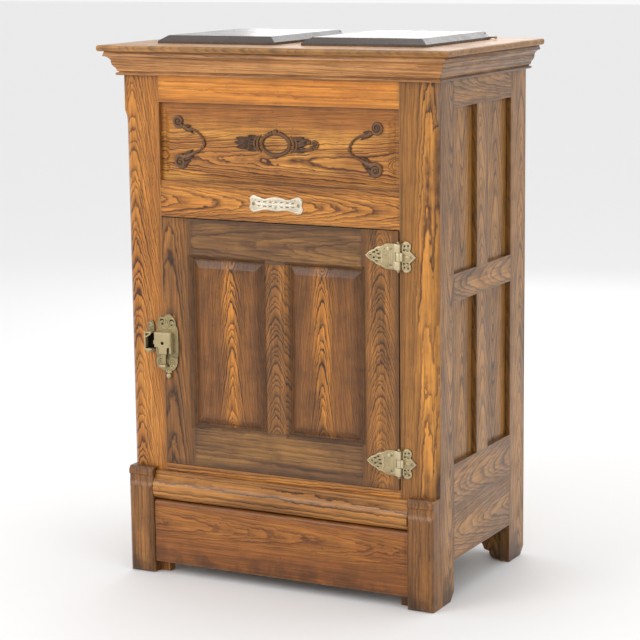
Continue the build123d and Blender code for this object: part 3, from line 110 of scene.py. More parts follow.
# ---------------------------------------------------------------- shader nodes
def srgb(code: str) -> tuple[float, float, float, float]:
    """Turns a six digit sRGB code into linear RGBA.

    Args:
        code: The colour as six hexadecimal digits.

    Returns:
        The linear colour with a full alpha.
    """
    parts = [int(code[i : i + 2], 16) / 255 for i in (0, 2, 4)]
    linear = [c / 12.92 if c <= 0.04045 else ((c + 0.055) / 1.055) ** 2.4 for c in parts]
    return (*linear, 1.0)


class Nodes:
    """Fills one node tree."""

    def __init__(self, tree: bpy.types.NodeTree) -> None:
        """Keeps the tree that is filled."""
        self.tree = tree

    def add(self, kind: str, given: dict | None = None, **settings: object) -> bpy.types.Node:
        """Adds one node.

        Args:
            kind: The node's type without its ShaderNode prefix.
            given: Values or sockets for its inputs, by name or index.
            settings: Properties of the node.

        Returns:
            The node.
        """
        prefix = "" if kind.startswith("NodeGroup") else "ShaderNode"
        node = self.tree.nodes.new(prefix + kind)
        for name, value in settings.items():
            setattr(node, name, value)
        for key, value in (given or {}).items():
            self.feed(node.inputs[key], value)
        return node

    def feed(self, socket: Socket, value: object) -> None:
        """Links a socket into an input, or sets the input's own value.

        Args:
            socket: The input.
            value: A socket or a plain value.
        """
        if isinstance(value, bpy.types.NodeSocket):
            self.tree.links.new(value, socket)
        else:
            socket.default_value = value

    def maths(self, operation: str, *values: object, clamp: bool = False) -> Socket:
        """Adds a Math node and returns its output."""
        given = dict(enumerate(values))
        return self.add("Math", given, operation=operation, use_clamp=clamp).outputs[0]

    def vector(self, operation: str, *values: object) -> Socket:
        """Adds a Vector Math node and returns its vector."""
        return self.add("VectorMath", dict(enumerate(values)), operation=operation).outputs[0]

    def ramp(self, value: Socket, low: float, high: float, start: float = 0.0, end: float = 1.0) -> Socket:
        """Maps a value from low..high to start..end along a smooth step."""
        given = {0: value, 1: low, 2: high, 3: start, 4: end}
        return self.add("MapRange", given, interpolation_type="SMOOTHSTEP").outputs[0]

    def noise(self, place: Socket, scale: float, detail: float = 2.0, rough: float = 0.5) -> Socket:
        """Adds a Noise Texture and returns its grey value."""
        given = {"Vector": place, "Scale": scale, "Detail": detail, "Roughness": rough}
        return self.add("TexNoise", given).outputs[0]

    def mix(self, share: object, a: object, b: object, blend: str = "MIX") -> Socket:
        """Mixes two colours.

        Args:
            share: How much of the second colour shows.
            a: The first colour.
            b: The second colour.
            blend: How they are mixed.

        Returns:
            The mixed colour.
        """
        node = self.add("Mix", data_type="RGBA", blend_type=blend)
        self.feed(node.inputs[0], share)
        self.feed(node.inputs[6], a)
        self.feed(node.inputs[7], b)
        return node.outputs[2]

    def shared(self, name: str, given: dict) -> bpy.types.Node:
        """Adds a shared node group, made at its first use, with its inputs fed by name."""
        tree = bpy.data.node_groups.get(name) or GROUPS[name]()
        return self.add("Group", given, node_tree=tree)

    def stretched(self, place: Socket, along: float) -> Socket:
        """Squeezes a place along its third axis, so that a pattern read there is drawn out along it."""
        return self.vector("MULTIPLY", place, (1.0, 1.0, along))


class Group:
    """A shader node group with named inputs and outputs."""

    def __init__(self, name: str, inputs: dict[str, object], outputs: tuple[str, ...]) -> None:
        """Makes the group's sockets.

        Args:
            name: The group's name.
            inputs: Each input's name with its usual value; a tuple makes a vector input.
            outputs: The names of the grey masks that the group puts out.
        """
        self.tree = bpy.data.node_groups.new(name, "ShaderNodeTree")
        self.nodes = Nodes(self.tree)
        for label, value in inputs.items():
            kind = "NodeSocketVector" if isinstance(value, tuple) else "NodeSocketFloat"
            made = self.tree.interface.new_socket(label, in_out="INPUT", socket_type=kind)
            made.default_value = value
        for label in outputs:
            self.tree.interface.new_socket(label, in_out="OUTPUT", socket_type="NodeSocketFloat")
        self.given = self.nodes.add("NodeGroupInput").outputs
        self.sink = self.nodes.add("NodeGroupOutput").inputs

    def put_out(self, **values: Socket) -> None:
        """Links sockets of the group to its outputs by name."""
        for label, value in values.items():
            self.nodes.feed(self.sink[label], value)


BOARD_APART = (7.31, 3.17, 5.73)  # moves the noise of one board away from another's
SLOW_SWING, MIDDLE_SWING = 2.0, 0.8  # how strongly the slow and the middle noise bend the rings
FLAME_SWING, JAG_SWING = 0.0055, 0.0024  # metres that a ring strays
LATEWOOD = (0.84, 0.98)  # the part of a ring in which it darkens
PORE_BAND = (0.55, 0.68)  # the noise values that are a pore


def oak_figure() -> bpy.types.NodeTree:
    """Makes the growth rings, fibres and pores of one board, whose grain runs along the third axis.

    Returns:
        The node group. Rings are shells about a pith line that leans across the board and tapers along it,
        so a face cut near the pith shows nested flames and one cut far from it shows straight lines.
    """
    inputs = {
        "Place": (0.0, 0.0, 0.0), "Pith Across": 0.0, "Pith Depth": 0.02, "Lean": 0.0, "Taper": 0.1,
        "Spacing": 0.005, "Wander": 0.004, "Reach": 0.1, "Seed": 0.0,
    }
    group = Group("oak_figure", inputs, ("Ring", "Pores", "Fibre", "Patch", "Heart"))
    n, given = group.nodes, group.given
    away = n.vector("SCALE", BOARD_APART)
    n.feed(away.node.inputs["Scale"], given["Seed"])
    place = n.vector("ADD", given["Place"], away)
    along = n.stretched(place, 0.16)
    slow = n.noise(along, 13.0, 1.0)
    middle = n.noise(along, 42.0, 2.0)
    flame = n.noise(n.stretched(place, 0.75), 48.0, 2.0, 0.6)
    jag = n.noise(n.stretched(place, 0.045), 330.0, 2.0, 0.65)

    split = n.add("SeparateXYZ", {0: given["Place"]}).outputs
    shift = n.maths("MULTIPLY_ADD", split[2], given["Lean"], given["Pith Across"])
    across = n.maths("SUBTRACT", split[0], shift)
    behind = n.maths("SUBTRACT", given["Pith Depth"], split[1])
    radius = n.maths("SQRT", n.maths("MULTIPLY_ADD", across, across, n.maths("MULTIPLY", behind, behind)))
    radius = n.maths("MULTIPLY_ADD", split[2], given["Taper"], radius)
    for source, share in ((slow, SLOW_SWING), (middle, MIDDLE_SWING)):
        swing = n.maths("MULTIPLY", n.maths("SUBTRACT", source, 0.5), share)
        radius = n.maths("MULTIPLY_ADD", swing, given["Wander"], radius)
    for source, amount in ((flame, FLAME_SWING), (jag, JAG_SWING)):
        swing = n.maths("SUBTRACT", source, 0.5)
        radius = n.maths("MULTIPLY_ADD", swing, amount, radius)
    phase = n.maths("DIVIDE", radius, given["Spacing"])
    phase = n.maths("MULTIPLY_ADD", n.maths("SINE", n.maths("MULTIPLY", phase, 1.7)), 0.28, phase)
    part = n.maths("FRACT", phase)
    fade = n.maths("POWER", n.maths("SUBTRACT", 1.0, part), 3.2)
    ring = n.maths("MAXIMUM", fade, n.ramp(part, *LATEWOOD))
    age = n.add("TexWhiteNoise", {"W": n.maths("FLOOR", phase)}, noise_dimensions="1D").outputs[0]
    ring = n.maths("MULTIPLY", ring, n.maths("MULTIPLY_ADD", age, 0.55, 0.68))
    spread = n.maths("MULTIPLY_ADD", n.maths("SUBTRACT", middle, 0.5), 0.9, 1.0)
    off = n.maths("DIVIDE", n.maths("ABSOLUTE", across), n.maths("MULTIPLY", given["Reach"], spread))
    heart = n.ramp(off, 0.45, 1.55, 1.0, 0.0)
    ring = n.maths("MULTIPLY", ring, n.maths("MULTIPLY_ADD", heart, 0.62, 0.38), clamp=True)

    dash = n.noise(n.stretched(place, 0.035), 820.0, 1.0)
    pores = n.maths("MULTIPLY", n.ramp(dash, *PORE_BAND), n.maths("MULTIPLY_ADD", ring, 0.6, 0.4))
    fibre = n.noise(n.stretched(place, 0.028), 260.0, 3.0, 0.65)
    group.put_out(Ring=ring, Pores=pores, Fibre=fibre, Patch=n.noise(along, 21.0, 3.0, 0.6), Heart=heart)
    return group.tree


def edge_wear_and_rim_shade() -> bpy.types.NodeTree:
    """Makes a board's two masks from its half sizes: rubbed arrises, and a face border of soiling and painted
    shade.

    Returns:
        The node group. Its Place is measured from the board's centre.
    """
    inputs = {"Place": (0.0, 0.0, 0.0), "Half": (0.1, 0.01, 0.1), "Edge Width": 0.003, "Rim Width": 0.012}
    group = Group("edge_wear_and_rim_shade", inputs, ("Edge", "Rim"))
    n, given = group.nodes, group.given
    gap = n.vector("SUBTRACT", given["Half"], n.vector("ABSOLUTE", given["Place"]))
    x, y, z = n.add("SeparateXYZ", {0: gap}).outputs
    rim = n.maths("MINIMUM", x, z)
    low, high = n.maths("MINIMUM", x, y), n.maths("MAXIMUM", x, y)
    second = n.maths("MAXIMUM", low, n.maths("MINIMUM", high, z))
    broken = n.noise(given["Place"], 55.0, 3.0, 0.6)
    reach = n.maths("MULTIPLY", given["Edge Width"], n.maths("MULTIPLY_ADD", broken, 2.4, -0.2))
    edge = n.maths("SUBTRACT", 1.0, n.maths("DIVIDE", second, reach), clamp=True)
    # Rim: the face's border, which soiling and painted shade darken next to the parts around it.
    rim_part = n.maths("SUBTRACT", 1.0, n.maths("DIVIDE", rim, given["Rim Width"]), clamp=True)
    rim_part = n.maths("MULTIPLY", rim_part, n.maths("MULTIPLY_ADD", broken, 1.2, 0.2), clamp=True)
    group.put_out(Edge=edge, Rim=rim_part)
    return group.tree


def old_marks() -> bpy.types.NodeTree:
    """Makes the marks that age leaves on any surface: cloudy patches, small dark specks and fine dents.

    Returns:
        The node group.
    """
    group = Group("old_marks", {"Place": (0.0, 0.0, 0.0), "Size": 1.0}, ("Cloud", "Speck", "Dent"))
    n, given = group.nodes, group.given
    place = n.add("VectorMath", {0: given["Place"], "Scale": given["Size"]}, operation="SCALE").outputs[0]
    cloud = n.noise(place, 17.0, 4.0, 0.62)
    spot = n.add("TexVoronoi", {"Vector": place, "Scale": 130.0}).outputs["Distance"]
    rare = n.ramp(n.noise(place, 60.0, 2.0), 0.58, 0.66)
    speck = n.maths("MULTIPLY", n.ramp(spot, 0.22, 0.12), rare)
    group.put_out(Cloud=cloud, Speck=speck, Dent=n.noise(place, 240.0, 3.0, 0.6))
    return group.tree


GROUPS = {"oak_figure": oak_figure, "edge_wear_and_rim_shade": edge_wear_and_rim_shade, "old_marks": old_marks}


def new_material(name: str) -> tuple[bpy.types.Material, Nodes, bpy.types.Node]:
    """Makes a material and returns it with the filler of its tree and its shader."""
    material = bpy.data.materials.new(name)
    material.use_nodes = True
    tree = material.node_tree
    return material, Nodes(tree), tree.nodes["Principled BSDF"]


# ---------------------------------------------------------------- finishes
class Along(Enum):
    """The axis that a board's grain runs along."""

    X = (1.0, 0.0, 0.0)
    Y = (0.0, 1.0, 0.0)
    Z = (0.0, 0.0, 1.0)


class Facing(Enum):
    """The way that a board's best face looks."""

    FRONT = (0.0, -1.0, 0.0)
    BACK = (0.0, 1.0, 0.0)
    LEFT = (-1.0, 0.0, 0.0)
    RIGHT = (1.0, 0.0, 0.0)
    TOP = (0.0, 0.0, 1.0)


@dataclass(frozen=True)
class Grain:
    """Where a board was cut from its tree, in metres."""

    across: float = 0.0
    depth: float = 0.02
    taper: float = 0.1
    spacing: float = 0.005
    lean: float = 0.0
    wander: float = 0.004
    reach: float = 0.2

    @staticmethod
    def drawn(name: str, flat: bool = True) -> "Grain":
        """Draws a grain for a board that has none chosen for it.

        Args:
            name: The piece's name, which settles the draw.
            flat: Whether the board was sawn flat, and so shows flames.

        Returns:
            The grain.
        """
        draw = random.Random(name)
        way = draw.choice((-1, 1))
        if flat:
            return Grain(
                across=draw.uniform(-0.012, 0.012), depth=draw.uniform(0.008, 0.02),
                lean=draw.uniform(-0.03, 0.03), taper=way * draw.uniform(0.1, 0.17),
                spacing=draw.uniform(0.0042, 0.0062), reach=0.05,
            )
        return Grain(
            across=way * draw.uniform(0.05, 0.09), depth=draw.uniform(0.02, 0.05),
            taper=draw.uniform(-0.03, 0.03), spacing=draw.uniform(0.005, 0.008),
        )


@dataclass(frozen=True)
class WoodFinish:
    """A stained and varnished wood: the gold of its heart, the plain brown beside it, and its dark pores.

    Figure and rubbed say how strongly the rings and the bare arrises show; two more strengths say how far
    soiling and painted shade darken the rims and the recessed bevels. Groove is the depth of the pores and
    rim the width of the border that soiling and painted shade darken, in metres.
    """

    pale: str
    plain: str
    deep: str
    figure: float = 0.85
    rubbed: float = 0.16
    # how strongly soiling and painted shade darken the rims, and how much the clouds darken
    soil_and_shade: float = 0.4
    rough: float = 0.36
    coat: float = 0.3
    groove: float = 0.0004
    rim: float = 0.012
    # how strongly painted shade and soiling darken a panel's recessed bevels
    recess_shade_and_soil: float = 0.0

    def dress(
        self, name: str, centre: Vector, half: Vector, turn: Matrix, grain: Grain
    ) -> bpy.types.Material:
        """Makes the material of one board.

        Args:
            name: The material's name.
            centre: The board's centre.
            half: Its half sizes across, through and along the grain.
            turn: The board's own axes as the columns of a matrix.
            grain: Where it was cut.

        Returns:
            The material.
        """
        material, n, shader = new_material(name)
        coords = n.add("TexCoord").outputs["Object"]
        given = {"Vector": coords, "Location": centre, "Rotation": turn.to_euler()}
        place = n.add("Mapping", given, vector_type="TEXTURE").outputs[0]
        figure = n.shared("oak_figure", {
            "Place": place, "Pith Across": grain.across, "Pith Depth": grain.depth, "Lean": grain.lean,
            "Taper": grain.taper, "Spacing": grain.spacing, "Wander": grain.wander, "Reach": grain.reach,
            "Seed": random.Random(name).uniform(0.0, 9.0),
        })
        edges = n.shared("edge_wear_and_rim_shade", {"Place": place, "Half": half, "Rim Width": self.rim})
        marks = n.shared("old_marks", {"Place": place})
        ring, pores, fibre, patch = (figure.outputs[k] for k in ("Ring", "Pores", "Fibre", "Patch"))
        glow = n.maths("MULTIPLY", figure.outputs["Heart"], n.ramp(patch, 0.4, 0.58, 1.0, 0.15))
        strong = n.maths("MULTIPLY", n.ramp(patch, 0.36, 0.62, 0.72, 1.15), self.figure)
        colour = n.mix(glow, srgb(self.plain), srgb(self.pale))
        colour = n.mix(n.maths("MULTIPLY", ring, strong, clamp=True), colour, srgb(self.deep))
        grey = n.ramp(fibre, 0.34, 0.66, 0.76, 1.2)
        tone = n.add("CombineColor", {i: grey for i in range(3)}).outputs[0]
        colour = n.mix(1.0, colour, tone, "MULTIPLY")
        colour = n.mix(n.maths("MULTIPLY", pores, 0.55), colour, srgb(self.deep))
        clouded = n.ramp(marks.outputs["Cloud"], 0.42, 0.68)
        colour = n.mix(n.maths("MULTIPLY", clouded, 0.3 * self.soil_and_shade + 0.1), colour, srgb(self.deep))
        # Soiling and painted shade darken the border of the face.
        rim = n.maths("MULTIPLY", edges.outputs["Rim"], self.soil_and_shade)
        # Boards darken towards the floor, in cloudy patches.
        height = n.add("SeparateXYZ", {0: coords}).outputs[2]
        near_floor = n.ramp(height, LOW_DARKENING_HEIGHT, 0.0)
        low_darkening = n.maths("MULTIPLY", near_floor, n.ramp(marks.outputs["Cloud"], 0.35, 0.6, 0.2, 0.75))
        rim = n.maths("MAXIMUM", rim, low_darkening)
        # A panel's recessed bevels below its field darken with painted shade and soiling.
        if self.recess_shade_and_soil:
            depth = n.maths("ADD", n.add("SeparateXYZ", {0: place}).outputs[1], half.y)
            rim = n.maths("MAXIMUM", rim, n.ramp(depth, *RECESS_SHADE_BAND, 0.0, self.recess_shade_and_soil))
        # The dark mask: soiling and painted shade at rims and bevels, the darkening near the floor, and
        # specks.
        dark = n.maths("MAXIMUM", rim, n.maths("MULTIPLY", marks.outputs["Speck"], 0.7))
        colour = n.mix(dark, colour, srgb(SOIL_AND_SHADE_BROWN))
        colour = n.mix(n.maths("MULTIPLY", edges.outputs["Edge"], self.rubbed), colour, srgb(RUBBED_GOLD))
        n.feed(shader.inputs["Base Color"], colour)
        rough = n.ramp(marks.outputs["Cloud"], 0.3, 0.7, self.rough, self.rough + 0.16)
        n.feed(shader.inputs["Roughness"], rough)
        shader.inputs["Specular IOR Level"].default_value = 0.25
        shader.inputs["Coat Weight"].default_value = self.coat
        shader.inputs["Coat Roughness"].default_value = 0.2
        height = n.maths("MULTIPLY_ADD", pores, -0.8, n.maths("MULTIPLY", ring, -0.45))
        height = n.maths("ADD", height, n.maths("MULTIPLY", fibre, 0.3))
        height = n.maths("MULTIPLY_ADD", marks.outputs["Dent"], 0.25, height)
        bump = n.add("Bump", {"Height": height, "Distance": self.groove, "Strength": 0.8}).outputs[0]
        n.feed(shader.inputs["Normal"], bump)
        return material


@dataclass(frozen=True)
class MetalFinish:
    """A metal that has dulled with age.

    Two colours are those of its hollows, which soiling and painted shade darken, and of its ridges, which
    wear and painted highlights lighten. Relief is the height in millimetres, below and above a casting's
    ground, at which they are reached.
    """

    bright: str
    dull: str
    metal: float = 0.9
    rough: float = 0.34
    tarnish: float = 0.6
    size: float = 1.0
    pitted: float = 0.00012
    # how far soiling and painted shade darken the hollows, towards the hollow colour below; the ridge colour
    # after it is wear and painted highlights
    hollow_soil_and_shade: float = 0.8
    recess_shade_and_soil: str = "4a3f2c"
    wear_and_highlight: str = "efe6cc"
    relief: tuple[float, float] | None = None
    shine: float = 0.5

    def dress(self, name: str) -> bpy.types.Material:
        """Makes the material.

        Args:
            name: The material's name.

        Returns:
            The material.
        """
        material, n, shader = new_material(name)
        coords = n.add("TexCoord").outputs["Object"]
        marks = n.shared("old_marks", {"Place": coords, "Size": self.size})
        cloud = n.ramp(marks.outputs["Cloud"], 0.36, 0.66)
        fine = n.ramp(marks.outputs["Dent"], 0.4, 0.62)
        share = n.maths("MULTIPLY", n.maths("MULTIPLY_ADD", fine, 0.4, cloud), self.tarnish, clamp=True)
        colour = n.mix(share, srgb(self.bright), srgb(self.dull))
        colour = n.mix(n.maths("MULTIPLY", marks.outputs["Speck"], 0.6), colour, srgb(BRASS_SPECK))
        # Pointiness darkens hollows with soiling and painted shade and lightens sharp ridges with wear and
        # painted highlights.
        curve = n.add("NewGeometry").outputs["Pointiness"]
        colour = n.mix(n.ramp(curve, 0.49, 0.42, 0.0, self.hollow_soil_and_shade), colour, srgb(self.recess_shade_and_soil))
        colour = n.mix(n.ramp(curve, 0.52, 0.6, 0.0, 0.5), colour, srgb(self.wear_and_highlight))
        if self.relief:
            low, high = self.relief
            rise = n.add("Attribute", attribute_name="rise").outputs["Fac"]
            rise = n.maths("MULTIPLY_ADD", n.maths("SUBTRACT", marks.outputs["Dent"], 0.5), high - low, rise)
            # Below the ground the pits darken with soiling and painted shade; above it the relief lightens
            # with wear and painted highlights.
            colour = n.mix(n.ramp(rise, low, 0.0, self.hollow_soil_and_shade, 0.0), colour, srgb(self.recess_shade_and_soil))
            colour = n.mix(n.ramp(rise, 0.2, high, 0.0, 0.5), colour, srgb(self.wear_and_highlight))
        n.feed(shader.inputs["Base Color"], colour)
        shader.inputs["Specular IOR Level"].default_value = self.shine
        n.feed(shader.inputs["Metallic"], n.maths("MULTIPLY_ADD", share, -0.35, self.metal))
        n.feed(shader.inputs["Roughness"], n.maths("MULTIPLY_ADD", share, 0.28, self.rough))
        height = n.maths("ADD", marks.outputs["Dent"], cloud)
        bump = n.add("Bump", {"Height": height, "Distance": self.pitted, "Strength": 0.7}).outputs[0]
        n.feed(shader.inputs["Normal"], bump)
        return material


class SoftFinish(Enum):
    """The unvarnished fillings and seals: their two colours, and how coarse they are."""

    FELT = ("6f6658", "40382e", 900.0, 0.0008)
    MINERAL_WOOL = ("b0a58e", "93876e", 420.0, 0.0012)

    def dress(self) -> bpy.types.Material:
        """Makes the material.

        Returns:
            The material.
        """
        light, dark, scale, depth = self.value
        material, n, shader = new_material(self.name.lower())
        coords = n.add("TexCoord").outputs["Object"]
        tuft = n.noise(coords, scale, 4.0, 0.7)
        patch = n.noise(coords, 9.0, 3.0)
        share = n.maths("MULTIPLY_ADD", n.ramp(patch, 0.35, 0.65), 0.5, n.ramp(tuft, 0.4, 0.6, 0.0, 0.5))
        n.feed(shader.inputs["Base Color"], n.mix(share, srgb(light), srgb(dark)))
        shader.inputs["Roughness"].default_value = 0.95
        n.feed(shader.inputs["Normal"], n.add("Bump", {"Height": tuft, "Distance": depth}).outputs[0])
        return material


FRONT_OAK = WoodFinish("cd8738", "b3702a", "4a260c", figure=0.95)
HINGE_STILE_OAK = WoodFinish("d28d3a", "9c672c", "45240d", figure=0.95)
CORNICE_OAK = WoodFinish("ca8e52", "ad7540", "5c3718", figure=0.6)
CLEAR_OAK = WoodFinish("d58a33", "cb7f2c", "8c4c18", figure=0.4)
PANEL_OAK = WoodFinish("e8a548", "a7682a", "4c240b", figure=1.0, rim=0.02, soil_and_shade=0.45)
DOOR_OAK = WoodFinish("b27431", "7d5126", "39210f", figure=0.9, rubbed=0.05, soil_and_shade=0.6)
DOOR_RAIL_OAK = WoodFinish("946836", "6b4829", "3d2616", figure=0.6, rubbed=0.05, soil_and_shade=0.75)
DOOR_PANEL_OAK = WoodFinish(
    "cc822e", "875422", "2b1508", figure=1.2, rubbed=0.05, soil_and_shade=0.85, rim=0.034, recess_shade_and_soil=0.4
)
SIDE_OAK = WoodFinish("ac7736", "8d602c", "45290f", figure=0.9, soil_and_shade=0.55, rough=0.3, coat=0.4)
FLAP_OAK = WoodFinish("a96a2a", "945824", "52290c", figure=0.75, rubbed=0.1)
BASE_OAK = WoodFinish("a36d36", "85572b", "462a13", figure=0.6, rubbed=0.15, soil_and_shade=0.5)
ROLL_OAK = WoodFinish("b87c3a", "9a642c", "47280c", figure=0.95, rubbed=0.0, soil_and_shade=0.1)
TOP_OAK = WoodFinish("cd9450", "b17b3c", "54310f", figure=0.95)
LID_OAK = WoodFinish("46352a", "3c2d24", "221812", figure=0.7, rubbed=0.12, rough=0.2, coat=0.5)
PINE = WoodFinish("b58f5c", "a37e4f", "7a5531", figure=0.5, rubbed=0.1, soil_and_shade=0.5, rough=0.62, coat=0.0)
AGED_BRASS = MetalFinish("c2b18a", "80704c")
CAST_BRASS = MetalFinish(
    "b8a67f", "8a7957", metal=0.75, recess_shade_and_soil="2e2617", hollow_soil_and_shade=0.9, wear_and_highlight="d8c9a4", relief=(-1.0, 1.6)
)
DARK_BRASS = MetalFinish(
    "a29067", "6f6040", metal=0.7, recess_shade_and_soil="221b10", hollow_soil_and_shade=0.9, wear_and_highlight="bfae86", relief=(-1.0, 2.4)
)
ZINC = MetalFinish("aeb1ad", "80837d", metal=0.8, rough=0.42, size=0.5)
TINNED_WIRE = MetalFinish("b9b9b4", "7c776c", rough=0.3)
PIN_STEEL = MetalFinish("b0a07e", "776a4c", rough=0.36)
PLATE_NICKEL = MetalFinish(
    "ddd1bb", "a3947a", metal=0.6, recess_shade_and_soil="6f604a", hollow_soil_and_shade=0.9, wear_and_highlight="fbf6ea", relief=(-0.5, 0.8)
)
# near-black painted shade for the strike's mouth and the latch pivot's hole
SHADOWED_BRASS = MetalFinish(
    "120e09", "080604", metal=0.0, rough=0.9, recess_shade_and_soil="080604", wear_and_highlight="1c160e", shine=0.05
)
CARVED = MetalFinish(
    "503521", "342014", metal=0.0, tarnish=0.9, pitted=0.0002, recess_shade_and_soil="180e07", wear_and_highlight="8a6240",
    relief=(-2.2, 3.0), shine=0.3,
)


# ---------------------------------------------------------------- pieces
def corners(points: Iterable[Vector]) -> tuple[Vector, Vector]:
    """Returns the lowest and highest corners of some points."""
    sides = list(zip(*points))
    return Vector([min(side) for side in sides]), Vector([max(side) for side in sides])


def made_mesh(source: bmesh.types.BMesh, name: str) -> bpy.types.Mesh:
    """Turns a bmesh into a mesh and frees it.

    Args:
        source: The bmesh.
        name: The mesh's name.

    Returns:
        The mesh.
    """
    mesh = bpy.data.meshes.new(name)
    source.to_mesh(mesh)
    source.free()
    return mesh


def welded(node: str) -> bmesh.types.BMesh:
    """Copies a CAD node's mesh with its loose triangles joined.

    Args:
        node: The CAD node.

    Returns:
        The copy.
    """
    whole = bmesh.new()
    whole.from_mesh(frame["nodes"][node].data)
    bmesh.ops.remove_doubles(whole, verts=whole.verts, dist=WELD)
    return whole


def soften(source: bmesh.types.BMesh, edges: list[bmesh.types.BMEdge], offset: float) -> None:
    """Rounds edges of a bmesh."""
    bmesh.ops.bevel(
        source, geom=edges, offset=offset, offset_type="OFFSET", affect="EDGES", segments=2, profile=0.5,
        material=-1,
    )


def islands(source: bmesh.types.BMesh) -> list[set[bmesh.types.BMFace]]:
    """Finds the separate boards of a mesh.

    Args:
        source: The mesh.

    Returns:
        The faces of each board, ordered from left to right, bottom to top, front to back.
    """
    left, found = set(source.faces), []
    while left:
        edge, one = [left.pop()], set()
        while edge:
            face = edge.pop()
            one.add(face)
            near = {other for e in face.edges for other in e.link_faces} & left
            left -= near
            edge.extend(near)
        found.append(one)

    def order(faces: set[bmesh.types.BMFace]) -> tuple[float, float, float]:
        """The sorting key of one board: its centre to the nearest centimetre."""
        low, high = corners(v.co for f in faces for v in f.verts)
        mid = [(a + b) / 2 for a, b in zip(low, high)]
        return (round(mid[0], 2), round(mid[2], 2), round(mid[1], 3))

    return sorted(found, key=order)


def boards_of(node: str) -> list[bmesh.types.BMesh]:
    """Copies a CAD node as one welded mesh for each of its boards, with flat faces made whole.

    Args:
        node: The CAD node.

    Returns:
        The boards, in the order of their islands.
    """
    whole = welded(node)
    bmesh.ops.dissolve_limit(
        whole, angle_limit=FLAT, verts=whole.verts, edges=whole.edges, use_dissolve_boundaries=False
    )
    whole.faces.index_update()
    made = []
    for faces in islands(whole):
        board = bmesh.new()
        new = {}
        for face in sorted(faces, key=lambda f: f.index):
            for v in face.verts:
                if v not in new:
                    new[v] = board.verts.new(v.co)
            board.faces.new([new[v] for v in face.verts])
        made.append(board)
    whole.free()
    return made


def body_of_node(node: str) -> str:
    """Returns the body that a CAD node belongs to."""
    return frame["nodes"][node]["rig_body"]


def slot_of_node(node: str) -> str:
    """Returns the material slot that a CAD node belongs to."""
    return next(part["material_slot"] for part in frame["record"]["subparts"] if part["node"] == node)


def axis_of(joint: str) -> Vector:
    """Returns the point that a joint turns about."""
    return Vector(next(j for j in frame["joints"] if j["name"] == joint)["pos_m"])


def settle(mesh: bpy.types.Mesh, name: str, node: str, material: bpy.types.Material) -> bpy.types.Object:
    """Puts a finished mesh in the scene in place of a CAD node.

    Args:
        mesh: The mesh, already in place.
        name: The piece's name.
        node: The CAD node that it stands for.
        material: Its finish.

    Returns:
        The piece.
    """
    piece = bpy.data.objects.new(name, mesh)
    bpy.context.scene.collection.objects.link(piece)
    mesh.materials.clear()
    mesh.materials.append(material)
    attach(piece, body_of_node(node))
    slot_of_node(node)
    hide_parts(node)
    log.info("%s: %d faces for %s", name, len(mesh.polygons), node)
    return piece


def ease(piece: bpy.types.Object, width: float, limit: float = MOULDED, smooth: float = MOULDED) -> None:
    """Rounds a piece's sharp arrises with a live bevel.

    Args:
        piece: The piece.
        width: The bevel's width.
        limit: The angle from which an arris is rounded, in degrees.
        smooth: The angle up to which faces are shaded as one, in degrees.
    """
    piece.data.shade_smooth()
    piece.data.set_sharp_from_angle(angle=math.radians(smooth))
    bevel = piece.modifiers.new("eased", "BEVEL")
    bevel.width = width
    bevel.segments = 2
    bevel.limit_method = "ANGLE"
    bevel.angle_limit = math.radians(limit)
    bevel.harden_normals = True
    bevel.use_clamp_overlap = True


@dataclass
class Boards:
    """All the boards of one CAD node, each of them a piece with a grain of its own.

    Smooth is the angle up to which faces are shaded as one: small on flat boards, so that bevels show.
    """

    node: str
    finish: WoodFinish
    along: Along | None = None
    facing: Facing = Facing.FRONT
    grains: tuple[Grain, ...] = ()
    flat: bool = True
    eased: float = 0.8 * MM
    smooth: float = 4.0

    def build(self) -> None:
        """Builds and dresses the boards."""
        boards = boards_of(self.node)
        for i, board in enumerate(boards):
            name = f"{self.node}_{i + 1}" if len(boards) > 1 else f"{self.node}_board"
            mesh = made_mesh(board, name)
            low, high = corners(v.co for v in mesh.vertices)
            size = high - low
            run = self.along or max(Along, key=lambda a: size.dot(Vector(a.value)))
            inward, grain_way = -Vector(self.facing.value), Vector(run.value)
            if abs(inward.dot(grain_way)) > 0.5:
                inward = Vector((0.0, 0.0, -1.0)) if run is not Along.Z else Vector((0.0, 1.0, 0.0))
            turn = Matrix((inward.cross(grain_way), inward, grain_way)).transposed()
            half = Vector([abs(c) for c in turn.transposed() @ (size / 2)])
            grain = self.grains[i] if i < len(self.grains) else Grain.drawn(name, self.flat)
            material = self.finish.dress(name, (low + high) / 2, half, turn, grain)
            ease(settle(mesh, name, self.node, material), self.eased, smooth=self.smooth)


@dataclass
class Parts:
    """CAD nodes whose shape is kept as it is, welded and with their arrises eased, in one finish."""

    nodes: tuple[str, ...]
    material: bpy.types.Material
    eased: float = 0.3 * MM

    def build(self) -> None:
        """Builds and dresses one piece for each node."""
        for node in self.nodes:
            name = f"{node}_made"
            piece = settle(made_mesh(welded(node), name), name, node, self.material)
            if self.eased:
                ease(piece, self.eased, limit=METAL_EDGE, smooth=METAL_EDGE)


# ---------------------------------------------------------------- castings
SHARP = True  # marks a corner of an outline


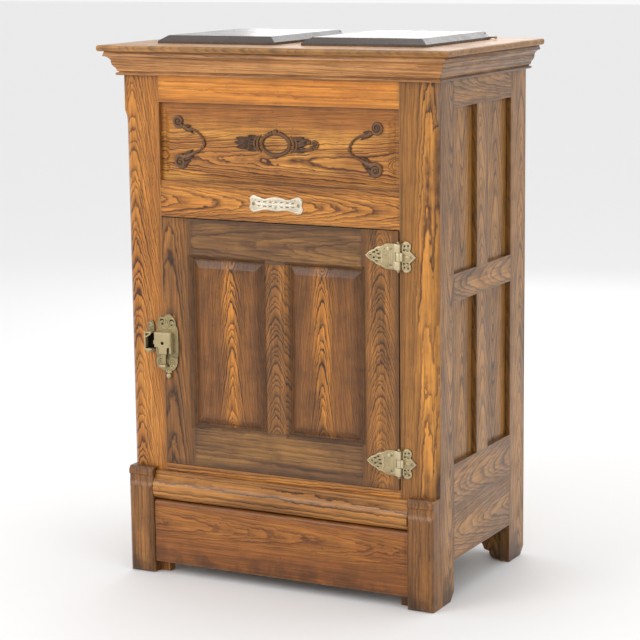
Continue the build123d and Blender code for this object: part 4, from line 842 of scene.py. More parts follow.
class Casting:
    """One cast or carved piece.

    It is drawn on a front face in millimetres: x to the right, y up, z towards the room.
    """

    def __init__(self, seat: Vector, ground: float = 0.0) -> None:
        """Starts an empty piece.

        Args:
            seat: The point of the face that its sizes are measured from, in metres.
            ground: The height of the flat that its relief stands on.
        """
        self.mesh = bmesh.new()
        self.seat = seat
        self.ground = ground

    def _join(self, mesh: bpy.types.Mesh) -> None:
        """Adds a mesh and removes it from the file."""
        self.mesh.from_mesh(mesh)
        bpy.data.meshes.remove(mesh)

    def _line(
        self, curve: bpy.types.Curve, points: tuple, closed: bool, thick: tuple[float, ...] = ()
    ) -> None:
        """Draws one smooth line on a curve.

        Args:
            curve: The curve that it joins.
            points: The points that it passes; one that ends in SHARP is a corner.
            closed: Whether it joins up with itself.
            thick: Its half width at each point; the last one holds for the rest.
        """
        spline = curve.splines.new("BEZIER")
        spline.bezier_points.add(len(points) - 1)
        spline.use_cyclic_u = closed
        last = len(points) - 1
        for i, (knot, point) in enumerate(zip(spline.bezier_points, points)):
            here = Vector((point[0], point[1], 0.0))
            before = points[i - 1] if closed or i > 0 else points[i]
            after = points[(i + 1) % len(points)] if closed or i < last else points[i]
            back, ahead = (Vector((p[0], p[1], 0.0)) for p in (before, after))
            lean = (ahead - back) / 6
            knot.handle_left_type = knot.handle_right_type = "FREE"
            knot.co = here
            if len(point) > 2:
                knot.handle_left, knot.handle_right = here + (back - here) / 3, here + (ahead - here) / 3
            else:
                knot.handle_left, knot.handle_right = here - lean, here + lean
            knot.radius = thick[min(i, len(thick) - 1)] if thick else 1.0

    def _turned_to_mesh(self, curve: bpy.types.Curve) -> bpy.types.Mesh:
        """Turns a curve into a mesh and removes the curve."""
        item = bpy.data.objects.new("draft", curve)
        mesh = bpy.data.meshes.new_from_object(item)
        bpy.data.objects.remove(item)
        bpy.data.curves.remove(curve)
        return mesh

    def plate(
        self, outline: tuple, thick: float, holes: tuple = (), floor: float = 0.0, edge: float = 0.7
    ) -> None:
        """Adds a flat plate with a soft edge.

        Args:
            outline: Its corners and bends.
            thick: Its thickness.
            holes: Outlines of its holes.
            floor: How high its back stands.
            edge: The rounding of its edges.
        """
        curve = bpy.data.curves.new("plate", "CURVE")
        curve.dimensions = "2D"
        curve.fill_mode = "BOTH"
        curve.resolution_u = 5
        curve.bevel_resolution = 2
        curve.bevel_depth = edge
        curve.offset = -edge
        curve.extrude = thick / 2 - edge
        self._line(curve, outline, True)
        for hole in holes:
            self._line(curve, tuple(reversed(hole)), True)
        mesh = self._turned_to_mesh(curve)
        mesh.transform(Matrix.Translation((0.0, 0.0, floor + thick / 2)))
        self._join(mesh)

    def pitted_plate(self, outline: tuple, thick: float, pits: tuple) -> None:
        """Adds a plate in two layers; the holes of the upper one are pits."""
        self.plate(outline, thick / 2)
        self.plate(outline, thick * 0.75, holes=pits, floor=thick / 4, edge=0.6)

    def rib(
        self, points: tuple, thick: tuple[float, ...], floor: float, flat: float = 0.8, closed: bool = False
    ) -> None:
        """Adds a raised line of round section, half sunk in what is under it.

        Args:
            points: The points that it passes.
            thick: Its half width at each point; the last one holds for the rest.
            floor: How high its middle stands.
            flat: Its height as a share of its half width.
            closed: Whether it joins up with itself.
        """
        curve = bpy.data.curves.new("rib", "CURVE")
        curve.dimensions = "3D"
        curve.resolution_u = 4
        curve.bevel_depth = 1.0
        curve.bevel_resolution = 2
        curve.use_fill_caps = not closed
        self._line(curve, points, closed, thick)
        mesh = self._turned_to_mesh(curve)
        mesh.transform(Matrix.Translation((0.0, 0.0, floor)) @ Matrix.Diagonal((1.0, 1.0, flat, 1.0)))
        self._join(mesh)

    def flute(self, x: float, heights: tuple[float, ...], thick: tuple[float, ...], floor: float) -> None:
        """Adds an upright rib that passes some heights."""
        self.rib(tuple((x, y) for y in heights), thick, floor)

    def bead(
        self, x: float, y: float, size: tuple[float, float, float], floor: float, turn: float = 0.0
    ) -> None:
        """Adds an egg.

        Args:
            x: Its centre.
            y: Its centre.
            size: Its half sizes.
            floor: How high its middle stands.
            turn: How far it is turned on the face, in degrees.
        """
        spin = Matrix.Rotation(math.radians(turn), 4, "Z")
        place = Matrix.Translation((x, y, floor)) @ spin @ Matrix.Diagonal((*size, 1.0))
        bmesh.ops.create_uvsphere(self.mesh, u_segments=16, v_segments=10, radius=1.0, matrix=place)

    def petal(self, root: Point, tip: Point, wide: float, rise: float, floor: float) -> None:
        """Adds a leaf: a long egg that is drawn out to a point and hollowed along its middle.

        Args:
            root: Where it starts.
            tip: Where it ends.
            wide: Its half width.
            rise: Its half thickness.
            floor: How high its middle stands.
        """
        way = Vector(tip) - Vector(root)
        leaf = bmesh.new()
        bmesh.ops.create_uvsphere(leaf, u_segments=16, v_segments=12, radius=1.0)
        for v in leaf.verts:
            along = (v.co.x + 1) / 2
            v.co.y *= wide * (1.15 - 0.75 * along)
            v.co.z *= rise * (1.1 - 0.5 * along) * (1 - 0.35 * math.exp(-((v.co.y / (0.3 * wide)) ** 2)))
            v.co.x *= way.length / 2
        middle = (Vector(root) + Vector(tip)) / 2
        turn = Matrix.Rotation(math.atan2(way.y, way.x), 4, "Z")
        bmesh.ops.transform(leaf, matrix=Matrix.Translation((*middle, floor)) @ turn, verts=leaf.verts)
        self._join(made_mesh(leaf, "leaf"))

    def petals(self, leaves: tuple, rise: float, floor: float, side: int = 1) -> None:
        """Adds leaves that are given as root, tip and half width; side -1 mirrors them."""
        for root, tip, wide in leaves:
            self.petal(*handed((root, tip), side), wide, rise, floor)

    def volute(
        self, x: float, y: float, radius: float, start: float, way: int, turns: float, wide: float,
        floor: float,
    ) -> None:
        """Adds a scroll that winds in from its rim to an eye.

        Args:
            x: Its centre.
            y: Its centre.
            radius: Its outer radius.
            start: The direction of its outer end, in degrees.
            way: 1 to wind anticlockwise, -1 to wind clockwise.
            turns: How many turns it makes.
            wide: Its half width at the rim.
            floor: How high its middle stands.
        """
        steps = int(turns * 8) + 1
        points, thick = [], []
        for i in range(steps):
            share = i / (steps - 1)
            angle = math.radians(start) + way * share * turns * math.tau
            reach = radius * (1 - 0.78 * share)
            points.append((x + reach * math.cos(angle), y + reach * math.sin(angle)))
            thick.append(wide * (1 - 0.45 * share))
        self.rib(tuple(points), tuple(thick), floor)
        self.bead(x, y, (radius * 0.24, radius * 0.24, wide), floor)

    def barrel(
        self, x: float, low: float, high: float, radius: float, floor: float, edge: float = 0.5
    ) -> None:
        """Adds an upright barrel with rounded ends.

        Args:
            x: Its axis.
            low: Its lower end.
            high: Its upper end.
            radius: Its radius.
            floor: How high its axis stands.
            edge: The rounding of its ends.
        """
        start = set(self.mesh.verts)
        place = Matrix.Translation((x, (low + high) / 2, floor)) @ UPRIGHT
        bmesh.ops.create_cone(
            self.mesh, cap_ends=True, segments=28, radius1=radius, radius2=radius, depth=high - low,
            matrix=place,
        )
        rims = [e for e in self.mesh.edges if not set(e.verts) & start and e.calc_face_angle(0.0) > 1.0]
        soften(self.mesh, rims, edge)

    def box(self, low: Vector, high: Vector, taper: float = 1.0, edge: float = 0.5) -> None:
        """Adds a block with soft arrises.

        Args:
            low: Its lowest corner.
            high: Its highest corner.
            taper: The size of its front face as a share of its back.
            edge: The rounding of its arrises.
        """
        start = set(self.mesh.verts)
        middle, size = (low + high) / 2, high - low
        place = Matrix.Translation(middle) @ Matrix.Diagonal((*size, 1.0))
        made = bmesh.ops.create_cube(self.mesh, size=1.0, matrix=place)["verts"]
        for v in made:
            if v.co.z > middle.z:
                v.co.x = middle.x + (v.co.x - middle.x) * taper
                v.co.y = middle.y + (v.co.y - middle.y) * taper
        soften(self.mesh, [e for e in self.mesh.edges if not set(e.verts) & start], edge)

    def finish(self, name: str, node: str, material: bpy.types.Material) -> None:
        """Sets the piece on its face in place of a CAD node and dresses it.

        Args:
            name: The piece's name.
            node: The CAD node that it stands for.
            material: Its finish.
        """
        bmesh.ops.remove_doubles(self.mesh, verts=self.mesh.verts, dist=0.002)
        bmesh.ops.recalc_face_normals(self.mesh, faces=self.mesh.faces)
        rise = self.mesh.verts.layers.float.new("rise")
        for v in self.mesh.verts:
            v[rise] = v.co.z - self.ground
        place = Matrix.Translation(self.seat) @ UPRIGHT @ Matrix.Scale(MM, 4)
        bmesh.ops.transform(self.mesh, matrix=place, verts=self.mesh.verts)
        mesh = made_mesh(self.mesh, name)
        settle(mesh, name, node, material)
        mesh.shade_smooth()
        mesh.set_sharp_from_angle(angle=math.radians(38.0))


def mirrored(points: tuple, axis: int) -> tuple:
    """Closes an open outline with its mirror image.

    Args:
        points: The outline's one half.
        axis: The coordinate that changes its sign: 0 for x, 1 for y.

    Returns:
        The whole outline.
    """
    image = [tuple(-c if k == axis else c for k, c in enumerate(p)) for p in reversed(points)]
    return points + tuple(p for p in image if abs(p[axis]) > 1e-6)


def handed(points: tuple, side: int) -> tuple:
    """Returns points as they are for side 1, and mirrored from left to right for side -1."""
    return tuple((side * x, y) for x, y in points)


def ring(x: float, y: float, rx: float, ry: float, count: int = 6) -> tuple:
    """Returns the points of an oval."""
    turn = [math.tau * i / count for i in range(count)]
    return tuple((x + rx * math.cos(a), y + ry * math.sin(a)) for a in turn)


# ---------------------------------------------------------------- studio
@dataclass
class Studio:
    """A pale floor, soft lights and the camera.

    Each lamp has a name, a place, a size and a power in watts. The camera's turns are in degrees.
    """

    paper: tuple[float, ...] = (0.86, 0.86, 0.86, 1.0)
    surroundings: float = 0.95
    aim: tuple[float, float, float] = (0.0, 0.0, 0.5)
    lamps: tuple = (
        ("key", (-1.5, -2.9, 2.0), 1.7, 36.0), ("fill", (2.6, -1.4, 1.6), 2.0, 8.0),
        ("top", (0.2, 0.6, 3.2), 2.2, 16.0), ("back", (-0.8, 3.0, 1.8), 2.0, 14.0),
    )
    lens: float = 120.37
    eye: tuple[float, float, float] = (1.9163, -3.6710, 1.2470)
    yaw: float = 27.6948
    pitch: float = -10.3130
    roll: float = -0.66523

    def build(self) -> None:
        """Builds the floor, the lights and the camera."""
        self.floor()
        self.lights()
        self.camera()

    def floor(self) -> None:
        """Lays the floor just under the feet."""
        bm = bmesh.new()
        bmesh.ops.create_grid(bm, x_segments=1, y_segments=1, size=30.0)
        mesh = made_mesh(bm, "floor")
        floor = bpy.data.objects.new("floor", mesh)
        floor.location.z = CAD_BOX[0].z - 0.0005
        bpy.context.scene.collection.objects.link(floor)
        material, _, shader = new_material("floor")
        shader.inputs["Base Color"].default_value = self.paper
        shader.inputs["Roughness"].default_value = 0.8
        mesh.materials.append(material)

    def lights(self) -> None:
        """Hangs the soft boxes and sets the white surroundings."""
        world = bpy.data.worlds.new("studio")
        world.use_nodes = True
        world.node_tree.nodes["Background"].inputs[0].default_value = (1.0, 1.0, 1.0, 1.0)
        world.node_tree.nodes["Background"].inputs[1].default_value = self.surroundings
        bpy.context.scene.world = world
        for name, place, size, power in self.lamps:
            lamp = bpy.data.lights.new(name, "AREA")
            lamp.size = size
            lamp.energy = power
            item = bpy.data.objects.new(name, lamp)
            item.location = place
            item.rotation_euler = (Vector(self.aim) - Vector(place)).to_track_quat("-Z", "Y").to_euler()
            bpy.context.scene.collection.objects.link(item)

    def camera(self) -> None:
        """Sets the camera at the front right of the icebox, a little above its middle."""
        yaw, pitch, roll = (math.radians(a) for a in (self.yaw, self.pitch, self.roll))
        forward = Vector((-math.sin(yaw) * math.cos(pitch), math.cos(yaw) * math.cos(pitch), math.sin(pitch)))
        level = Vector((math.cos(yaw), math.sin(yaw), 0.0))
        up = level.cross(forward)
        right = math.cos(roll) * level + math.sin(roll) * up
        up = -math.sin(roll) * level + math.cos(roll) * up
        data = bpy.data.cameras.new("camera")
        data.lens = self.lens
        data.sensor_width = 36.0
        data.clip_end = 100.0
        camera = bpy.data.objects.new("camera", data)
        turn = Matrix((right, up, -forward)).transposed().to_4x4()
        camera.matrix_world = Matrix.Translation(self.eye) @ turn
        bpy.context.scene.collection.objects.link(camera)
        bpy.context.scene.camera = camera
        bpy.context.scene.view_settings.view_transform = "Standard"


# ---------------------------------------------------------------- woodwork
@dataclass
class FrontFrame:
    """The stiles and rails of the front and the raised panel of the ice chamber."""

    left: Grain = Grain(across=-0.02, depth=0.007, taper=0.16, spacing=0.004, wander=0.006, reach=0.045)
    right: Grain = Grain(across=0.02, depth=0.012, taper=0.035, spacing=0.0052, wander=0.009, reach=0.02)
    clear: Grain = Grain(across=0.05, depth=0.05, taper=0.01, spacing=0.009)
    flames: Grain = Grain(across=0.004, depth=0.01, taper=0.09, spacing=0.0042, wander=0.008, reach=0.04)
    panel: Grain = Grain(across=0.028, depth=0.01, taper=-0.06, spacing=0.0048, wander=0.011, reach=0.05)

    def build(self) -> None:
        """Builds and dresses the front frame."""
        Boards("front_stile_left", FRONT_OAK, Along.Z, grains=(self.left,)).build()
        Boards("front_stile_right", HINGE_STILE_OAK, Along.Z, grains=(self.right,)).build()
        Boards("front_top_rail", CLEAR_OAK, Along.X, grains=(self.clear,)).build()
        Boards("front_middle_rail", FRONT_OAK, Along.X, grains=(self.flames,)).build()
        Boards("front_bottom_rail", FRONT_OAK, Along.X, flat=False).build()
        Boards("ice_front_panel", PANEL_OAK, Along.X, grains=(self.panel,)).build()


@dataclass
class Door:
    """The panelled door of the food chamber."""

    latch_stile: Grain = Grain(across=-0.016, depth=0.012, taper=0.09, spacing=0.006, reach=0.03)
    hinge_stile: Grain = Grain(across=0.001, depth=0.009, taper=0.2, spacing=0.003, wander=0.003, reach=0.028)
    low: Grain = Grain(across=0.05, depth=0.03, taper=0.01, spacing=0.008)
    high: Grain = Grain(across=0.004, depth=0.014, taper=-0.06, spacing=0.006, reach=0.05)
    chevrons: Grain = Grain(across=0.0, depth=0.006, taper=0.26, spacing=0.0036, wander=0.005, reach=0.05)
    flame_left: Grain = Grain(
        across=0.008, depth=0.005, taper=0.15, spacing=0.0038, wander=0.006, reach=0.018
    )
    flame_right: Grain = Grain(
        across=-0.007, depth=0.005, taper=0.13, spacing=0.0038, wander=0.006, reach=0.018
    )

    def build(self) -> None:
        """Builds and dresses the door's woodwork."""
        Boards("door_stiles", DOOR_OAK, Along.Z, grains=(self.latch_stile, self.hinge_stile)).build()
        Boards("door_rails", DOOR_RAIL_OAK, Along.X, grains=(self.low, self.high)).build()
        Boards("door_muntin", DOOR_OAK, Along.Z, grains=(self.chevrons,)).build()
        Boards("door_panels", DOOR_PANEL_OAK, Along.Z, grains=(self.flame_left, self.flame_right)).build()


@dataclass
class SideWall:
    """One panelled side of the case."""

    name: str
    facing: Facing

    def build(self) -> None:
        """Builds and dresses the side's stiles, rails and panels."""
        for part in ("stiles", "rails", "panels"):
            Boards(f"side_{part}_{self.name}", SIDE_OAK, facing=self.facing).build()


@dataclass
class Base:
    """The roll moulding, the corner blocks, the kick flap and the rear feet."""

    streaks: Grain = Grain(across=0.05, depth=0.04, taper=0.01, spacing=0.007)
    plain: Grain = Grain(across=-0.02, depth=0.02, taper=0.04, spacing=0.0035, reach=0.03)

    def build(self) -> None:
        """Builds and dresses the base."""
        Boards("roll_moulding", ROLL_OAK, Along.X, grains=(self.streaks,), smooth=MOULDED).build()
        for side in ("left", "right"):
            Boards(
                f"base_block_{side}", BASE_OAK, Along.Z, grains=(self.streaks,), eased=1.2 * MM,
                smooth=MOULDED,
            ).build()
        Boards("kick_flap", FLAP_OAK, Along.X, grains=(self.plain,)).build()
        Boards("rear_feet", SIDE_OAK, Along.Z, facing=Facing.BACK, smooth=MOULDED).build()


@dataclass
class Top:
    """The top boards, the cornice and the two lids."""

    def build(self) -> None:
        """Builds and dresses the top."""
        Boards("top_boards", TOP_OAK, Along.X, facing=Facing.TOP).build()
        Boards("cornice_front", CORNICE_OAK, Along.X, flat=False, eased=0.5 * MM, smooth=MOULDED).build()
        Boards(
            "cornice_sides", SIDE_OAK, Along.Y, facing=Facing.RIGHT, flat=False, eased=0.5 * MM,
            smooth=MOULDED,
        ).build()
        for side in ("left", "right"):
            Boards(f"lid_{side}", LID_OAK, Along.X, facing=Facing.TOP).build()


@dataclass
class Inside:
    """The back, the lining and all that stands behind the doors."""

    def build(self) -> None:
        """Builds and dresses the inside."""
        for node, facing in (
            ("back_boards", Facing.BACK), ("floor_board", Facing.TOP), ("door_jamb", Facing.FRONT),
            ("inner_rests", Facing.TOP), ("ice_rack", Facing.TOP), ("pan_runners", Facing.FRONT),
        ):
            Boards(node, PINE, facing=facing, eased=0.6 * MM).build()
        zinc = ZINC.dress("zinc")
        lined = ("food_liner", "ice_liner", "ice_tray", "drain_pipe", "door_liner", "drip_pan")
        Parts(lined, zinc, 0.0).build()
        Parts(("wire_shelves",), TINNED_WIRE.dress("tinned_wire"), 0.0).build()
        wool = SoftFinish.MINERAL_WOOL.dress()
        Parts(("insulation", "door_insulation", "lid_plug_left", "lid_plug_right"), wool, 0.0).build()
        Parts(("door_gasket",), SoftFinish.FELT.dress(), 0.5 * MM).build()


@dataclass
class DoorHinges:
    """The two cast hinges: a pointed leaf on the door, a lobed one on the frame, and their barrels."""

    thick: float = 2.5
    tall: float = 48.0
    knuckle: float = 4.4
    gap: float = 0.25
    barrel_proud: float = 4.6
    door_leaf: tuple = (
        (-7, 24, SHARP), (-18, 24), (-27, 23), (-34.5, 18.5, SHARP), (-42, 17.5), (-49.5, 12, SHARP),
        (-57, 9.5), (-63, 3.8, SHARP), (-69, 0, SHARP),
    )
    frame_leaf: tuple = (
        (1.4, 24, SHARP), (6.5, 24.5), (10, 28.2), (17, 28.4), (23.5, 23), (23, 16), (21, 11.5, SHARP),
        (26.5, 7), (33.5, 0, SHARP),
    )
    door_pits: tuple = (
        (-50.5, 6.6, 3.4, 1.9), (-44, 9.6, 2.6, 1.7), (-50.5, -3.6, 2.3, 1.7), (-44.5, -9, 2.8, 1.9),
        (-39.5, -4, 3, 1.6), (-41, 3.6, 2.8, 1.4), (-57, 0.8, 2, 1.1),
    )
    door_border: tuple = (
        (-31, 19.5), (-37, 15.8), (-44, 14.6), (-50.5, 9.6), (-58, 6.8), (-63.5, 2.4), (-65.5, 0),
    )
    palmette: tuple = (
        ((-37, 0), (-55, 2.6), 1.7), ((-38, -8), (-49, -7), 1.7), ((-38, 8), (-46, 5), 1.7),
    )
    bracket: tuple = ((-35.5, 13), (-33, 7), (-34, 0), (-33, -7), (-35.5, -13))
    flutes: tuple[float, ...] = (-17, -13.8, -10.6, -7.4)
    frame_pits: tuple = ((17.6, 20.8), (10.2, 19.6), (9.2, 12.6), (16, 12))

    def build(self, brass: bpy.types.Material) -> None:
        """Builds both hinges.

        Args:
            brass: The finish.
        """
        axis = axis_of("door_hinge")
        low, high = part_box("door_hinge_leaves")
        half = self.tall * MM / 2
        door_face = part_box("door_stiles")[0].y
        frame_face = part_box("front_stile_right")[0].y
        for name, z in (("low", low.z + half), ("high", high.z - half)):
            self.build_door_leaf(name, Vector((axis.x, door_face, z)), brass)
            self.build_frame_leaf(name, Vector((axis.x, frame_face, z)), (frame_face - axis.y) / MM, brass)

    def build_door_leaf(self, name: str, seat: Vector, brass: bpy.types.Material) -> None:
        """Builds the leaf on the door with a palmette at its point and flutes beside its barrel.

        Args:
            name: Which hinge it belongs to.
            seat: The point of the door's face behind the hinge's middle.
            brass: The finish.
        """
        leaf = Casting(seat, self.thick)
        pits = tuple(ring(*pit) for pit in self.door_pits)
        leaf.pitted_plate(mirrored(self.door_leaf, 1), self.thick, pits)
        top = self.thick
        leaf.rib(mirrored(self.door_border, 1), (1.4, 1.6, 1.7, 1.7, 1.6, 1.4, 1.3), top - 0.2)
        leaf.petals(self.palmette, 1.3, top)
        leaf.rib(self.bracket, (1, 1.3, 1.5, 1.3, 1), top)
        leaf.bead(-21.5, 14, (4.6, 4.2, 1.5), top)
        leaf.rib(ring(-29, 1.7, 2.6, 2.6), (0.7,), top, closed=True)
        leaf.bead(-29, 1.7, (1.3, 1.3, 1.2), top)
        for x in self.flutes:
            leaf.flute(x, (20.5, 0, -20.5), (1.3,), top - 0.4)
        third = self.tall / 6 + self.gap
        for low, high in ((third, self.tall / 2), (-self.tall / 2, -third)):
            leaf.barrel(0, low, high, self.knuckle, self.barrel_proud)
            leaf.box(Vector((-8, low + 0.2, 0.3)), Vector((-1, high - 0.2, 4.4)), edge=0.4)
        leaf.finish(f"door_leaf_{name}", "door_hinge_leaves", brass)

    def build_frame_leaf(self, name: str, seat: Vector, proud: float, brass: bpy.types.Material) -> None:
        """Builds the leaf on the frame with its three lobes.

        Args:
            name: Which hinge it belongs to.
            seat: The point of the frame's face behind the hinge's middle.
            proud: How far the hinge's axis stands before that face, in millimetres.
            brass: The finish.
        """
        leaf = Casting(seat, self.thick)
        pits = tuple(ring(x, side * y, 1.7, 1.7) for side in (1, -1) for x, y in self.frame_pits)
        leaf.pitted_plate(mirrored(self.frame_leaf, 1), self.thick, pits)
        top = self.thick
        leaf.flute(6, (21.5, 0, -21.5), (1.5,), top)
        for side in (1, -1):
            leaf.rib(((8.5, side * 25.4), (16.5, side * 25.6), (21, side * 22), (20.4, side * 15)), (1,), top)
            leaf.bead(13.6, side * 16.2, (2.4, 2.4, 1.3), top)
            leaf.rib(((20.5, side * 9.5), (26, side * 4.6), (30, 0)), (1.1, 1.1, 0.9), top)
        leaf.petal((10, 0), (24, 0), 3, 1.4, top)
        third = self.tall / 6 - self.gap
        leaf.barrel(0, -third, third, self.knuckle, proud)
        leaf.box(Vector((1, -third + 0.2, 0.3)), Vector((8, third - 0.2, proud + 1)), edge=0.4)
        leaf.finish(f"frame_leaf_{name}", "frame_hinge_leaves", brass)


@dataclass
class Latch:
    """The cast latch on the door, its thumb lever, and the strike on the frame."""

    thick: float = 3.0
    box_half: tuple[float, float] = (19, 21)
    box_proud: float = 11.0
    outline: tuple = (
        (-14, 45), (-11, 50), (-3, 50.5), (3, 54), (12, 56.5), (20, 51), (24.5, 43),
        (25.5, 34, SHARP), (29, 30), (30, 21), (30.5, 0), (30, -21), (28.5, -27, SHARP),
        (28, -36), (25.5, -46), (20, -53), (13, -56, SHARP), (8, -60.5), (2.5, -56.5, SHARP),
        (-8, -54), (-17, -49), (-21.5, -41), (-20, -33), (-17.5, -28, SHARP), (-21, -22),
        (-21.5, 0), (-20.5, 20), (-15.5, 27, SHARP), (-17.5, 36),
    )
    opening: tuple[float, float] = (450, 480)
    brows_at: tuple[float, float] = (-5.5, 16.5)
    brow: tuple = (
        (-5.4, 40.6, SHARP), (-4, 44.6), (0, 46.4), (4, 44.6), (5.4, 40.6, SHARP), (3, 42.8), (0, 43.8),
        (-3, 42.8),
    )
    lid: tuple = ((-6.6, 40.6), (-4.8, 46.2), (0, 48.4), (4.8, 46.2), (6.6, 40.6))
    pits: tuple = (
        (-5, 36.6, 2.3, 2.3), (16, 35.8, 2.3, 2.3), (24, -43.5, 1.2, 3.4), (-17.5, -41, 1.1, 3),
        (-10, -31.5, 3.4, 0.9),
    )
    fan: tuple = ((-10, 31), (-1.5, 46), (5.5, 51.5), (12, 47), (20.5, 30))

    def build(self, brass: bpy.types.Material, dark: bpy.types.Material) -> None:
        """Builds the latch.

        Args:
            brass: The finish.
            dark: The finish of the shadowed inside.
        """
        axis = axis_of("latch_pivot")
        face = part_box("door_stiles")[0].y
        self.build_plate(Vector((axis.x, face, axis.z)), brass)
        self.build_lever(axis, face, brass)
        self.build_strike(brass, dark)

    def build_plate(self, seat: Vector, brass: bpy.types.Material) -> None:
        """Builds the plate with its fan crest, raised box, shield and ball finial.

        Args:
            seat: The point of the door's face behind the lever's pivot.
            brass: The finish.
        """
        plate = Casting(seat, self.thick)
        pits = [tuple((x + point[0], *point[1:]) for point in self.brow) for x in self.brows_at]
        pits += [ring(*pit) for pit in self.pits]
        plate.pitted_plate(self.outline, self.thick, tuple(pits))
        top = self.thick
        for tip in self.fan:
            plate.petal((5.5, 27), tip, 2.4, 1.5, top)
        for x in self.brows_at:
            plate.rib(tuple((x + dx, y) for dx, y in self.lid), (0.8, 1.2, 1.3, 1.2, 0.8), top)
        half_x, half_z = self.box_half
        back, front = top - 0.4, top + self.box_proud
        for low, high in (
            ((-half_x, half_z - 5), (half_x, half_z)),
            ((half_x - 4.5, -half_z + 1), (half_x, half_z - 4)),
        ):
            plate.box(Vector((*low, back)), Vector((*high, front - 1.5)), edge=0.6)
        cover = (
            (-half_x + 1, half_z - 1, SHARP), (-half_x + 1, -8, SHARP), (-9, -9.5),
            (-8, -half_z, SHARP), (9.5, -half_z, SHARP), (10.5, -9.5), (half_x - 1, -8, SHARP),
            (half_x - 1, half_z - 1, SHARP),
        )
        plate.plate(cover, 2.5, holes=(ring(0, 0, 2.7, 2.7, 8),), floor=front - 2.5, edge=0.9)
        plate.rib(((2, -58), (9, -56.5), (14, -58.5)), (1.6, 2.2, 1.6), top)
        plate.bead(8, -65, (5.6, 6, 5.6), 3.2)
        plate.barrel(8, -61, -57, 3.2, 2.6)
        for x, side in ((-9.5, 1), (17, -1)):
            plate.rib(ring(x, -39.5, 7.6, 9.6, 8), (1.5,), top, closed=True)
            plate.volute(x, -39.5, 5.2, 90.0 * side, side, 1.2, 1.3, top)
        plate.petal((4, -30), (4.5, -53), 3.4, 2, top)
        for x, foot in ((-18, -15), (25.5, 24.5)):
            plate.rib(((x, -30), (x + 1, -38), (foot, -46)), (1, 1.4, 1), top)
        for x in (-20, 27.5):
            plate.flute(x, (18, 0, -18), (1.1,), top)
        plate.finish("latch_escutcheon", "latch_plate", brass)

    def build_lever(self, axis: Vector, face: float, brass: bpy.types.Material) -> None:
        """Builds the lever: its hub and tongue in the box, its fluted thumb piece below.

        Args:
            axis: The pivot.
            face: How far back the door's face is.
            brass: The finish.
        """
        lever = Casting(Vector((axis.x, face, axis.z)), 9)
        low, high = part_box("latch_lever")
        back, front = (face - high.y) / MM, (face - low.y) / MM - 6.0
        lever.plate(ring(0, 0, 7.6, 7.6, 8), front - back, holes=(ring(0, 0, 2.6, 2.6, 8),), floor=back)
        reach = (low.x - axis.x) / MM
        lever.box(Vector((reach, -4, back)), Vector((-4, 4, front)), edge=0.8)
        lever.box(Vector((-5.2, -44, back)), Vector((5.2, -5, front)), edge=1.0)
        for x in (-3, 0, 3):
            lever.flute(x, (-23, -33, -41.5), (1, 1.2, 1), front)
        lever.box(Vector((-8.6, -48, back)), Vector((8.6, -42.2, front + 5.6)), taper=0.8, edge=1.4)
        lever.finish("latch_thumb_lever", "latch_lever", brass)

    def build_strike(self, brass: bpy.types.Material, dark: bpy.types.Material) -> None:
        """Builds the strike on the frame: an open mouth between a lobe above and a bright lobe below.

        Args:
            brass: The finish.
            dark: The finish of its shadowed inside.
        """
        low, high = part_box("latch_keeper")
        seat = Vector(((low.x + high.x) / 2, high.y, (low.z + high.z) / 2))
        strike = Casting(seat, self.thick)
        wide, tall, proud = (c / MM for c in ((high.x - low.x) / 2, (high.z - low.z) / 2, high.y - low.y))
        mouth = [z - seat.z / MM for z in self.opening]
        strike.plate(
            (
                (-wide, mouth[0] - 4), (-wide + 3, -tall), (2, -tall - 3), (wide, -tall + 2, SHARP),
                (wide, tall - 3, SHARP), (5, tall + 4), (-3, tall + 2), (-wide + 1, tall - 7),
            ),
            self.thick,
        )
        for z in (mouth[0] - 1.5, mouth[1] + 1.5):
            strike.box(Vector((-wide, z - 1.5, 1)), Vector((wide - 0.3, z + 1.5, proud)), edge=0.8)
        strike.box(Vector((-wide, mouth[0], 1)), Vector((-wide + 2.8, mouth[1], proud)), edge=0.8)
        rim = proud - 1.2
        brow = ((wide - 1, mouth[1] + 2), (2, mouth[1] - 3), (-wide + 2, mouth[1] - 8))
        strike.rib(brow, (1.4, 1.8, 1.4), rim)
        strike.bead(-1.5, mouth[0] - 4, (5.5, 4, 2.6), proud - 3)
        strike.rib(((-1.5, tall + 0.5), (4, tall - 5), (-2, tall - 8)), (1.6, 2, 1.4), self.thick)
        strike.finish("latch_strike", "latch_keeper", brass)
        # A near-black box at the back of the mouth is painted shade.
        inside = Casting(seat)
        low_inside = Vector((-wide + 2.4, mouth[0] - 0.5, 2.6))
        inside.box(low_inside, Vector((wide - 1.2, mouth[1] + 0.5, 4)), edge=0.2)
        inside.finish("latch_strike_inside", "latch_keeper", dark)


